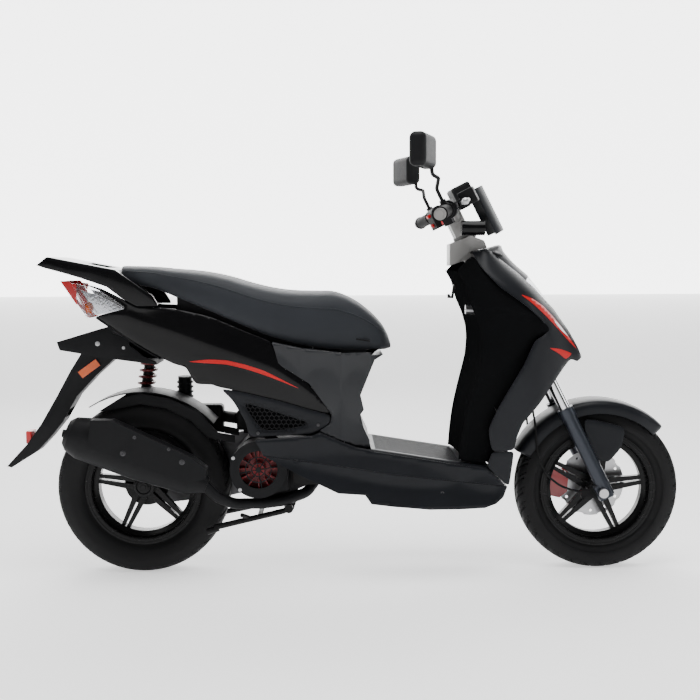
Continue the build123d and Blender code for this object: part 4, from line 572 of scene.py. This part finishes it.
def front_fairing():
    flanks("front_wing_skins", WING_TOP + ARCH + WING_LOW, wing_width, "chassis", M["body"],
           "black_plastic", ("front_wings",), thick=3.0, roll=2.5, reach=7.0)
    inner = SHIELD_REAR + [(956, 316), (966, 340), (974, 357), (963, 420), (993, 485), (1033, 554),
                           (1058, 596), (1081, 645), (1092, 661), (1127, 684), (1127, 694), (1104, 721),
                           (1053, 763), (992, 805), (947, 856), (921, 894)]
    bm = bmesh.new()
    for side in (-1, 1):
        flank_into(bm, cut_corners(inner), inner_width, side, roll=3.0, reach=9.0)
    # the wall that faces the rider, hollowed between the two side edges
    back = rounded_path(SHIELD_REAR[::-1], 40)
    grid = []
    for x, z in back:
        half = inner_width(x + 4, z) - 2.0
        row = []
        for v in np.linspace(-1, 1, 25):
            depth = 16.0 * (1 - abs(v) ** 4) + 5 * math.cos(v * math.pi) ** 2 * (1 - abs(v))
            row.append(bm.verts.new(at(x + depth * 0.8, half * v, z)))
        grid.append(row)
    sheet_faces(bm, grid)
    add_piece("leg_shield_skin", bm, "chassis", M["deep"], "black_plastic", ("inner_leg_shield",), angle=50)
    lower = [(971, 354), (1031, 357), (1029, 330), (1021, 262), (1009, 264), (958, 315), (966, 340)]
    flanks("lower_fairing_skins", lower, lambda x, z: shield_width(x, z) - 1.0, "chassis", M["body"],
           "black_plastic", ("lower_fairings",))
    arch = [(1014, 264), (1025, 356), (1029, 404), (1000, 452), (985, 480)]
    bm = bmesh.new()
    rows = []
    for x, z in rounded_path(arch, 16):
        half = float(SHIELD_FRONT_SMOOTH(z)) - 6
        rows.append([bm.verts.new(at(x - 10 * (v * v), half * v, z)) for v in np.linspace(-1, 1, 15)])
    sheet_faces(bm, rows)
    add_piece("wheel_arch_wall", bm, "chassis", M["trim"], "black_plastic")
    # hood over the lamp, the lamp itself and the beak below it
    band("nose_hood", [(944, 906), (985, 917), (1012, 922), (1022, 904), (1050, 872), (1091, 836)], 86, 64,
         [3, 14, 40, 38, 30, 24], M["grey_trim"], "black_plastic", ("front_shield",), 4.0)
    band("headlight_lens", [(1086, 840), (1118, 802), (1150, 758), (1200, 690)], 60, 54, [24, 16, 10, 10],
         M["clear_lens"], "clear_lens", ("headlight",), 3.0)
    band("headlight_reflector", [(1078, 828), (1108, 790), (1140, 748), (1190, 682)], 52, 46,
         [16, 12, 8, 8], M["reflector"], "chrome", (), 2.0)
    band("nose_beak", [(1197, 690), (1222, 650), (1238, 619), (1240, 604), (1226, 597)], 54, 40,
         [10, 10, 8, 5, 3], M["body"], "black_plastic", (), 3.0)


def band(name, profile, half_start, half_end, falls, material, slot, replaces, thick):
    """A strip across the nose that follows a side-view line, crowned across its width."""
    bm = bmesh.new()
    line_points = rounded_path(profile, 26)
    rows = []
    for layer in (0, 1):
        part = []
        for n, (x, z) in enumerate(line_points):
            t = n / (len(line_points) - 1)
            a = line_points[max(n - 1, 0)]
            b = line_points[min(n + 1, len(line_points) - 1)]
            run = math.hypot(b[0] - a[0], b[1] - a[1])
            nx, nz = -(b[1] - a[1]) / run, (b[0] - a[0]) / run
            half = half_start + (half_end - half_start) * t
            row = []
            for v in np.linspace(-1, 1, 21):
                fall = float(np.interp(t, np.linspace(0, 1, len(falls)),
                                       falls)) * abs(v) ** 2.4 + layer * thick
                row.append(bm.verts.new(at(x - nx * fall, half * v, z - nz * fall)))
            part.append(row)
        rows.append(part)
    top, low = rows
    sheet_faces(bm, top)
    for a, b in zip(low, low[1:]):
        for k in range(len(a) - 1):
            bm.faces.new((b[k], b[k + 1], a[k + 1], a[k]))
    loop = [(top[0], low[0]), (top[-1], low[-1])]
    for a, b in loop:
        for k in range(len(a) - 1):
            bm.faces.new((a[k], b[k], b[k + 1], a[k + 1]))
    for k in (0, -1):
        for n in range(len(top) - 1):
            bm.faces.new((top[n][k], top[n + 1][k], low[n + 1][k], low[n][k]))
    return add_piece(name, bm, "chassis", material, slot, replaces, angle=50)


SIDE_PANEL = [(-118, 728), (-75, 703), (0, 655), (58, 622), (105, 600), (137, 592), (152, 562), (164, 545),
              (208, 544), (226, 537), (300, 523), (400, 499), (470, 477), (531, 462), (500, 506),
              (470, 545), (389, 598), (372, 660), (300, 688), (200, 731), (100, 752), (5, 757), (-96, 806),
              (-156, 820), (-100, 800), (-21, 752), (-70, 741)]
VENT_PANEL = [(230, 534), (300, 521), (400, 497), (470, 475), (529, 459), (527, 436), (500, 418),
              (480, 408.5), (400, 403), (306, 399), (299, 440), (264, 500)]
GRILLE = [(287, 499), (468, 440), (461, 431), (400, 419), (354, 417), (331, 431)]
STRIPE_REAR = [(140, 607), (200, 613.5), (249, 611), (300, 599), (351, 582.5), (400, 557), (450, 531),
               (402, 551), (351, 571), (300, 587.5), (249, 600), (200, 603)]


def panel_width(x, z):
    """The glossy panel's flank with a soft ridge along its length."""
    ridge = float(np.interp(x, [-120, 0, 120, 260, 400, 530], [770, 726, 690, 640, 580, 480]))
    return rear_width(x, z) + 3.5 * math.exp(-((z - ridge) / 26) ** 2)


def vent_width(x, z):
    """Follows the flank, but stays outside the transmission case when the engine swings up."""
    return max(rear_width(x, z) - 1.0, VENT_CLEAR_HALF)


def rear_body():
    flanks("side_panel_skins", SIDE_PANEL, panel_width, "chassis", M["gloss"], "gloss_black",
           ("side_panels",), step=10, roll=2.5, reach=8)
    flanks("rear_stripes", STRIPE_REAR, panel_width, "chassis", M["stripe"], "red_plastic", thick=0.6,
           lift=0.5, roll=0.0, step=12)
    bm = bmesh.new()
    outline = cut_corners(VENT_PANEL)
    hole = cut_corners(GRILLE)
    for side in (-1, 1):
        flank_ring(bm, outline, hole, vent_width, side)
        honeycomb(bm, hole, vent_width, side)
    add_piece("vent_panel_skins", bm, "chassis", [M["body"], M["trim"]], "black_plastic", ("vent_panels",),
              angle=40)
    flank_shade_liner()
    restyle("centre_cover", "chassis", M["cover"], rear_warp, slot="black_plastic", keep_axes="xyz", step=10)


def flank_shade_liner():
    """Painted shade: dark, unreflecting inner skins that close the seams between the rear panels and the
    space behind the grille, standing in for the shade seen through them.
    """
    upper = [(-40, 708), (60, 640), (170, 580), (250, 546), (400, 514), (470, 500), (430, 556), (380, 590),
             (350, 650), (200, 716), (60, 742)]
    lower = [(250, 548), (290, 440), (330, 414), (470, 416), (510, 440), (512, 462), (470, 502), (400, 516)]
    bm = bmesh.new()
    for side, outline in ((-1, upper), (1, upper), (-1, lower)):
        flank_into(bm, cut_corners(outline), lambda x, z: rear_width(x, z) - 12.0, side, thick=1.5,
                   roll=0.0, step=14)
    add_piece("rear_painted_shade_liner", bm, "chassis", M["deep"], "black_plastic", angle=50)


def flank_ring(bm, outer, inner, width, side, count=140):
    """The frame between two closed outlines, rounded at its inner edge."""
    def even(points):
        closed = points + points[:1]
        run = np.concatenate([[0], np.cumsum([math.dist(a, b) for a, b in zip(closed, closed[1:])])])
        places = np.linspace(0, run[-1], count, endpoint=False)
        return np.stack([np.interp(places, run, [p[k] for p in closed]) for k in (0, 1)], axis=1)
    a, b = even(outer), even(inner)
    shift = int(np.argmin([np.sum(np.hypot(*(a - np.roll(b, s, axis=0)).T)) for s in range(count)]))
    b = np.roll(b, shift, axis=0)
    rows = []
    for t, sink in ((0, 2.4), (0, 1.0), (0.06, 0.0), (0.5, 0.0), (0.9, 0.0), (0.97, 0.6), (1.0, 1.4),
                    (1.0, 2.4)):
        rows.append([bm.verts.new(at(x, side * (width(x, z) - sink), z)) for x, z in a + (b - a) * t])
    ring_faces(bm, rows)


def inside(outline, x, z):
    hit = False
    for (x0, z0), (x1, z1) in zip(outline, outline[1:] + outline[:1]):
        if (z0 > z) != (z1 > z) and x < x0 + (z - z0) * (x1 - x0) / (z1 - z0):
            hit = not hit
    return hit


def honeycomb(bm, outline, width, side, pitch=13.0, wall=1.3, deep=1.6):
    """Hexagonal cells that fill an outline."""
    low_x, high_x = min(p[0] for p in outline), max(p[0] for p in outline)
    low_z, high_z = min(p[1] for p in outline), max(p[1] for p in outline)
    rows = int((high_z - low_z) / (pitch * 0.866)) + 3
    for r in range(-1, rows):
        for c in range(-1, int((high_x - low_x) / pitch) + 3):
            cx = low_x + (c + 0.5 * (r % 2)) * pitch
            cz = low_z + r * pitch * 0.866
            if not inside(outline, cx, cz) and edge_distance(outline, cx, cz) > pitch * 0.7:
                continue
            rings = []
            for radius, sink in ((pitch / 1.73, 0.0), (pitch / 1.73 - wall, 0.0),
                                 (pitch / 1.73 - wall, deep), (pitch / 1.73, deep)):
                ring = []
                for k in range(6):
                    a = math.radians(60 * k + 30)
                    x, z = cx + radius * math.cos(a), cz + radius * math.sin(a)
                    ring.append(bm.verts.new(at(x, side * (width(x, z) - sink), z)))
                rings.append(ring)
            for p, q in zip(rings, rings[1:] + rings[:1]):
                for k in range(6):
                    m = (k + 1) % 6
                    bm.faces.new((p[k], p[m], q[m], q[k])).material_index = 1


def front_stripes():
    upper = [(1044, 787), (1080, 775), (1116, 752), (1160, 708), (1200, 660), (1224, 627), (1192, 656),
             (1150, 698), (1110, 735), (1076, 764)]
    lower = [(1126, 640), (1165, 634), (1207, 618), (1184, 603), (1160, 622)]
    pale = [(1148, 716), (1168, 697), (1196, 664), (1172, 682), (1150, 706)]
    for part, outline in (("upper", upper), ("lower", lower)):
        flanks("front_stripes_" + part, outline, wing_width, "chassis", M["stripe"], "red_plastic",
               thick=0.6, lift=0.5, roll=0.0, step=10)
    flanks("front_stripes_pale", pale, wing_width, "chassis", M["pale_film"], "silver_grey", thick=0.4,
           lift=1.2, roll=0.0, step=10)


def floor_panels():
    restyle("floorboard", "chassis", M["body"], floor_warp, slot="black_plastic", keep_axes="xyz")
    restyle("belly_pan", "chassis", M["body"], floor_warp, slot="black_plastic", keep_axes="xyz")
    bm = bmesh.new()
    for y in range(-126, 127, 18):
        places = np.linspace(652, 884, 14)
        tube_into(bm, [at(x, y, line(FLOOR_TOP_Z, x) - 1.4) for x in places], 2.6, 8)
    add_piece("floor_grip_ribs", bm, "chassis", M["trim"], "rubber")


def soften(node, body, material, radius, slot, segments=3, limit=24):
    """A copy of a CAD node with its sharp edges rolled over, inside the same outline."""
    bm = cad_copy(node, merge=True)
    sharp = [e for e in bm.edges if len(e.link_faces) == 2 and e.calc_face_angle(0) > math.radians(limit)]
    bmesh.ops.bevel(bm, geom=sharp, offset=radius * MM, segments=segments, profile=0.5, affect="EDGES",
                    clamp_overlap=True)
    return add_piece(node + "_rounded", bm, body, material, slot, (node,), 40, recalc=False)


def surface_y(node, x, z, side):
    """How far out a CAD node's outer face lies at a side-view place, in mm."""
    bm = cad_copy(node)
    tree = BVHTree.FromBMesh(bm)
    bm.free()
    hit = tree.ray_cast(at(x, side * 500, z), Vector((0, -side, 0)))
    return abs(hit[0].y / MM) if hit[0] else None


def side_bolts(name, body, node, places, side, material, slot):
    entries = []
    for x, z, r in places:
        y = surface_y(node, x, z, side)
        if y is not None:
            entries.append(((x, side * (y - 0.3), z), (0, side, 0), r))
    return bolts(name, body, entries, material, slot)


def arch(name, x, axle_z, section, start, end, body, material, slot, replaces, extra=None):
    """A mudguard: a crowned section swept about a wheel's axis and drawn in towards both ends."""
    bm = bmesh.new()
    rows = []
    count = 72
    for n in range(count + 1):
        t = n / count
        a = math.radians(start + (end - start) * t)
        pinch = min(1.0, 0.62 + 0.38 * math.sqrt(min(1.0, min(t / 0.16, (1 - t) / 0.10) + 0.001)))
        ring = []
        for y, r in section:
            crown = (r - section[-1][1]) * pinch + section[-1][1] if r < section[-1][1] else r
            ring.append(bm.verts.new(at(x + crown * math.cos(a), y * pinch, axle_z + crown * math.sin(a))))
        rows.append(ring)
    ring_faces(bm, rows)
    bm.faces.new(rows[0])
    bm.faces.new(rows[-1])
    if extra:
        extra(bm)
    return add_piece(name, bm, body, material, slot, replaces, angle=45)


def guard_section(half, low, high, thick):
    """A guard's closed section: its outer line over the tyre, then the same line a wall thickness inside."""
    def line_at(inset):
        side = [(half - inset, low), (half - inset, high - 22), (half - 3 - inset, high - 12),
                (half - 12 - inset, high - 5 - inset * 0.6), (half * 0.5, high - 1 - inset),
                (0, high - inset)]
        smooth = [tuple(p) for p in rounded_path(side, 18)]
        return smooth + [(-y, r) for y, r in smooth[::-1][1:]]
    return line_at(0) + line_at(thick)[::-1]


def front_fender():
    def plates(bm):
        for side in (-1, 1):
            outline = cut_corners([(1236, 438), (1360, 410), (1350, 352), (1312, 308), (1264, 324)])
            flank_into(bm, outline, lambda x, z: 72.0, side, roll=1.5, thick=4.0)
    top = FRONT_TYRE_R + 15.8 + 11
    arch("front_fender_skin", FRONT_AXLE_X, FRONT_AXLE_Z, guard_section(69.5, top - 40, top, 3.0), 44, 155,
         "fork_lower", M["body"], "black_plastic", ("front_fender",), plates)
    side_bolts("fender_bolts", "fork_lower", "front_fender", [(1257, 414, 4.5), (1288, 368, 4.5)], -1,
               M["steel"], "steel")


SOFTENED = [
    ("grab_rail", "chassis", 5.0, "gloss_black", "gloss"),
    ("rear_mudguard", "chassis", 3.0, "black_plastic", "trim"),
    ("mirror_right", "mirror_right", 9.0, "black_plastic", "trim"),
    ("mirror_left", "mirror_left", 9.0, "black_plastic", "trim"),
    ("neck_cover", "chassis", 6.0, "silver_grey", "silver"),
    ("instrument_cluster", "steering", 5.0, "black_plastic", "trim"),
    ("flyscreen", "steering", 4.0, "black_plastic", "body"),
    ("air_box", "engine_unit", 6.0, "black_plastic", "trim"),
    ("hugger", "engine_unit", 1.2, "black_plastic", "trim"),
]


def tail():
    """The tail lamp's lenses, reflectors and bulbs."""
    def pick(x, y, z):
        if z < 420:
            return 3
        if z < 640:
            return 2
        return 0 if x < float(np.interp(z, [722, 826], [-140, -180])) else 1
    restyle("rear_lenses", "chassis", [M["red_lens"], M["clear_lens"], M["amber"], M["red"]], pick=pick,
            slot="red_plastic")
    inner = [(-158, 800), (-110, 788), (-34, 750), (-70, 738), (-118, 733)]
    bm = bmesh.new()
    for side in (-1, 1):
        flank_into(bm, inner, lambda x, z: rear_width(x, z) - 14, side, roll=0.0, thick=2.0)
    add_piece("tail_lamp_reflectors", bm, "chassis", M["reflector"], "chrome")
    bm = bmesh.new()
    for side in (-1, 1):
        y = rear_width(-136, 764) - 12
        lathe_into(bm, [(-7, 3), (-7, 7), (0, 10), (12, 11), (20, 8), (24, 2)], at(-136, side * y, 744),
                   (0, 0, 1), 20)
    add_piece("turn_lamp_bulbs", bm, "chassis", M["amber"], "clear_lens")


def softened_nodes():
    for node, body, radius, slot, key in SOFTENED:
        soften(node, body, M[key], radius, slot)


SIDE_BOLTS = [
    ("muffler_bolts", "engine_unit", "muffler",
     [(-32, 362, 5.5), (127, 337, 5.5), (0, 405, 3.5), (92, 372, 3.5)], "dark_steel"),
    ("case_bolts", "engine_unit", "engine_case", [(420, 300, 5), (447, 330, 4), (500, 320, 4)], "steel"),
    ("fan_cover_bolts", "engine_unit", "fan_cover",
     [(280, 252, 3.5), (396, 340, 3.5), (262, 340, 3.5)], "steel"),
    ("vent_bolts", "chassis", "vent_panels", [(332, 411, 3.2), (496, 432, 3.2)], "dark_steel"),
    ("belly_bolts", "chassis", "belly_pan", [(835, 243, 5)], "dark_steel"),
    ("undertray_bolts", "chassis", "rear_mudguard", [(-117, 652, 4.5), (-45, 640, 3)], "steel"),
    ("neck_bolts", "chassis", "neck_cover", [(928, 900, 3.5)], "dark_steel"),
]


def hardware():
    """Bolts on the right side and the shock absorber's coil."""
    for name, body, node, places, key in SIDE_BOLTS:
        side_bolts(name, body, node, places, -1, M[key], "steel")
    bm = bmesh.new()
    top, low = at(*SHOCK_TOP), at(*SHOCK_LOW)
    axis = (low - top).normalized()
    side = axis.orthogonal().normalized()
    other = axis.cross(side)
    reach = (low - top).length
    coil = []
    for n in range(361):
        t = n / 360
        a = 2 * math.pi * SPRING_TURNS * t
        coil.append(top + axis * (reach * (SPRING_FROM + (SPRING_TO - SPRING_FROM) * t))
                    + (side * math.cos(a) + other * math.sin(a)) * SPRING_COIL_R * MM)
    tube_into(bm, coil, SPRING_WIRE_R, 10)
    add_piece("shock_coil", bm, "shock_upper", M["spring_red"], "red_metal", ("shock_spring",))


def body_panels():
    front_fairing()
    front_stripes()
    rear_body()
    floor_panels()


# ---------------------------------------------------------------- seat
SEAT_TOP = [(-46, 868), (50, 864), (100, 859), (150, 855), (200, 848), (254, 836), (300, 822), (350, 809),
            (400, 800), (450, 796), (500, 795), (537, 794), (575, 782), (600, 769), (631, 747), (661, 719),
            (682, 692), (695, 664), (700, 648)]
SEAT_LOW = [(-46, 818), (0, 814), (40, 808), (100, 786), (200, 745), (300, 701), (400, 663), (500, 641),
            (560, 635), (640, 634), (700, 636)]
SEAT_PLAN = [(-46, 92), (0, 114), (62, 121), (130, 140), (250, 149), (430, 143), (560, 122), (640, 98),
             (680, 74), (700, 44)]
SEAT_SECTION = [(0.90, 0.0), (0.975, 0.10), (1.0, 0.30), (0.985, 0.52), (0.93, 0.74), (0.80, 0.90),
                (0.58, 0.97), (0.30, 0.995), (0.0, 1.0)]


def seat():
    """A crowned pad lofted from nose to tail, hollow below over the seat base."""
    top, low, plan = smooth_curve(SEAT_TOP), smooth_curve(SEAT_LOW), smooth_curve(SEAT_PLAN)
    section = rounded_path(SEAT_SECTION, 26)
    stations = [-46 + 746 * (0.5 - 0.5 * math.cos(math.pi * t)) ** 0.92 for t in np.linspace(0, 1, 72)]
    bm = bmesh.new()
    rings = []
    for x in stations:
        z_top, z_low, half = float(top(x)), float(low(x)), float(plan(x))
        tail = max(0.0, min(1.0, (x + 46) / 26))
        nose = max(0.0, min(1.0, (700 - x) / 34))
        squeeze = (0.86 + 0.14 * math.sqrt(1 - (1 - tail) ** 2)) * (0.90 +
                                                                    0.10 * math.sqrt(1 - (1 - nose) ** 2))
        rise = 42.0 * max(0.0, min(1.0, (x - 52) / 10)) * max(0.0, min(1.0, (655 - x) / 14))
        rise = min(rise, max(0.0, z_top - z_low - 16))
        inner = min(112.5, half * 0.84)
        loop = [(half * squeeze * u, z_low + (z_top - z_low) * h * (0.94 + 0.06 * squeeze)) for u,
                h in section]
        under = [(0.0, z_low + rise + 0.6), (inner - 3, z_low + rise + 0.6), (inner, z_low + rise * 0.8),
                 (inner, z_low + 1.5)]
        half_loop = loop[::-1] + [(half * squeeze * 0.88, z_low - 0.2)] + under[::-1]
        ring = [bm.verts.new(at(x, y, z)) for y, z in half_loop]
        ring += [bm.verts.new(at(x, -y, z)) for y, z in reversed(half_loop[1:-1])]
        rings.append(ring)
    ring_faces(bm, rings)
    bm.faces.new(rings[0])
    bm.faces.new(rings[-1])
    pad = add_piece("seat_cushion", bm, "seat", M["vinyl"], "vinyl", ("seat_pad",), angle=50)
    for side in (-1, 1):
        bm = bmesh.new()
        seam = []
        for x in np.linspace(-30, 672, 60):
            z_top, z_low, half = float(top(x)), float(low(x)), float(plan(x))
            seam.append(at(x, side * half * 0.945, z_low + (z_top - z_low) * 0.705))
        tube_into(bm, seam, 1.6, 8)
        add_piece("seat_piping_" + ("left" if side > 0 else "right"), bm, "seat", M["vinyl"], "vinyl")


# ---------------------------------------------------------------- wheels
def tyre(name, node, body, x, axle_z, outer_r, width, rim_half):
    """A tyre with grooved tread blocks, a raised sidewall ring and a flat patch on the ground."""
    half, bead = width / 2, rim_half - 5.5
    outline = [(bead - 1, BEAD_R), (bead, 166), (half - 7, 181), (half - 1, outer_r - 45),
               (half - 0.5, outer_r - 34), (half - 3.5, outer_r - 22), (half - 9, outer_r - 11),
               (half * 0.62, outer_r - 3.2), (half * 0.3, outer_r - 0.6), (0, outer_r)]
    right = rounded_path(outline, 34)
    profile = [(y, r) for y, r in right] + [(-y, r) for y, r in right[::-1][1:]]
    profile += [(-bead + 6, BEAD_R), (bead - 6, BEAD_R)]
    bm = bmesh.new()
    rings = []
    for n in range(TREAD_STEPS):
        a = 2 * math.pi * n / TREAD_STEPS
        ring = []
        for y, r in profile:
            side = abs(y) / half
            depth = 0.0
            if r > outer_r - 24:
                lead = a * TREAD_BLOCKS / (2 * math.pi) + 1.1 * side ** 1.5 + (0.5 if y > 0 else 0.0)
                slot = lead % 1.0
                if 0.16 < side < 0.90 and slot < 0.16:
                    depth = 3.4
                fine = (lead * 2 + 0.6) % 2.0
                if 0.60 < side < 0.92 and fine < 0.18:
                    depth = max(depth, 2.2)
                if 0.04 < side < 0.10:
                    depth = max(depth, 3.0)
            elif abs(r - (outer_r - 42)) < 2.2:
                depth = -0.9
            radius = r - depth
            point = at(x + radius * math.cos(a), y * (1 - 0.012 * max(depth, 0)),
                       axle_z + radius * math.sin(a))
            point.z = max(point.z, 0.0)
            ring.append(bm.verts.new(point))
        rings.append(ring)
    ring_faces(bm, rings + rings[:1])
    return add_piece(name, bm, body, M["tyre"], "tyre", (node,), angle=32)


def wheel_trim(name, body, x, axle_z, half, hub_y):
    """Ridges turned on the rim's flanges and a ring on the right end of the hub."""
    bm = bmesh.new()
    for side in (-1, 1):
        face = side * (half - 0.4)
        for radius in (158.5, 150.5, 143.5):
            inset = 0 if radius > 150 else (8 if radius > 145 else 22)
            profile = [(0, radius - 2.0), (1.3, radius - 1.2), (1.3, radius + 1.2), (0, radius + 2.0)]
            lathe_into(bm, profile, at(x, face - side * inset, axle_z), (0, side, 0), 96, closed=True)
    lathe_into(bm, [(0, 29), (2.5, 29), (4, 26), (4, 21), (1.5, 19), (1.5, 12)], at(x, hub_y, axle_z),
               (0, -1, 0), 48)
    return add_piece(name, bm, body, M["wheel"], "wheel_black")


def wheels():
    tyre("front_tyre_tread", "front_tyre", "front_wheel", FRONT_AXLE_X, FRONT_AXLE_Z, FRONT_TYRE_R,
         FRONT_TYRE_W, FRONT_RIM_HALF)
    tyre("rear_tyre_tread", "rear_tyre", "rear_wheel", REAR_AXLE_X, REAR_AXLE_Z, REAR_TYRE_R, REAR_TYRE_W,
         REAR_RIM_HALF)
    wheel_trim("front_rim_ridges", "front_wheel", FRONT_AXLE_X, FRONT_AXLE_Z, FRONT_RIM_HALF, FRONT_HUB_Y)
    wheel_trim("rear_rim_ridges", "rear_wheel", REAR_AXLE_X, REAR_AXLE_Z, REAR_RIM_HALF, REAR_HUB_Y)


# ---------------------------------------------------------------- plain materials on the CAD nodes that stay
KEPT = {
    "frame": ("main_frame", "fuel_tank", "steering_stem", "centre_stand", "shock_upper"),
    "rubber": ("battery", "left_grip", "throttle_grip", "front_cables"),
    "trim": ("helmet_box", "seat_base", "rear_mudguard", "bag_hook", "bar_controls",
             "instrument_cluster", "mirror_right", "mirror_left", "fan_cover", "muffler", "hugger",
             "air_box"),
    "gloss": ("grab_rail", "front_indicators"),
    "silver": ("neck_cover", "handlebar"),
    "steel": ("ignition_lock", "brake_lever_right", "brake_lever_left", "front_axle", "brake_disc"),
    "chrome": ("stanchions",),
    "body": ("flyscreen", "front_fender"),
    "red": ("starter_button", "horn_button", "turn_switch"),
    "dark_steel": ("kick_lever", "shock_lower"),
    "fork": ("fork_lowers",),
    "red_paint": ("brake_caliper",),
    "wheel": ("front_rim", "rear_rim"),
    "engine": ("engine_case",),
    "cast": ("transmission_case",),
    "fan_red": ("cooling_fan",),
    "spring_red": ("shock_spring",),
    "red_lens": ("rear_lenses",),
    "clear_lens": ("headlight",),
}


def dress_nodes():
    """Plain materials for the CAD nodes, each under the finish that it takes."""
    for key, nodes in KEPT.items():
        for node in nodes:
            mesh = NODES[node].data
            mesh.materials.clear()
            mesh.materials.append(M[key])
            shade(mesh, 30)


dress_nodes()
body_panels()
front_fender()
tail()
softened_nodes()
hardware()
seat()
wheels()
place_camera()
studio()
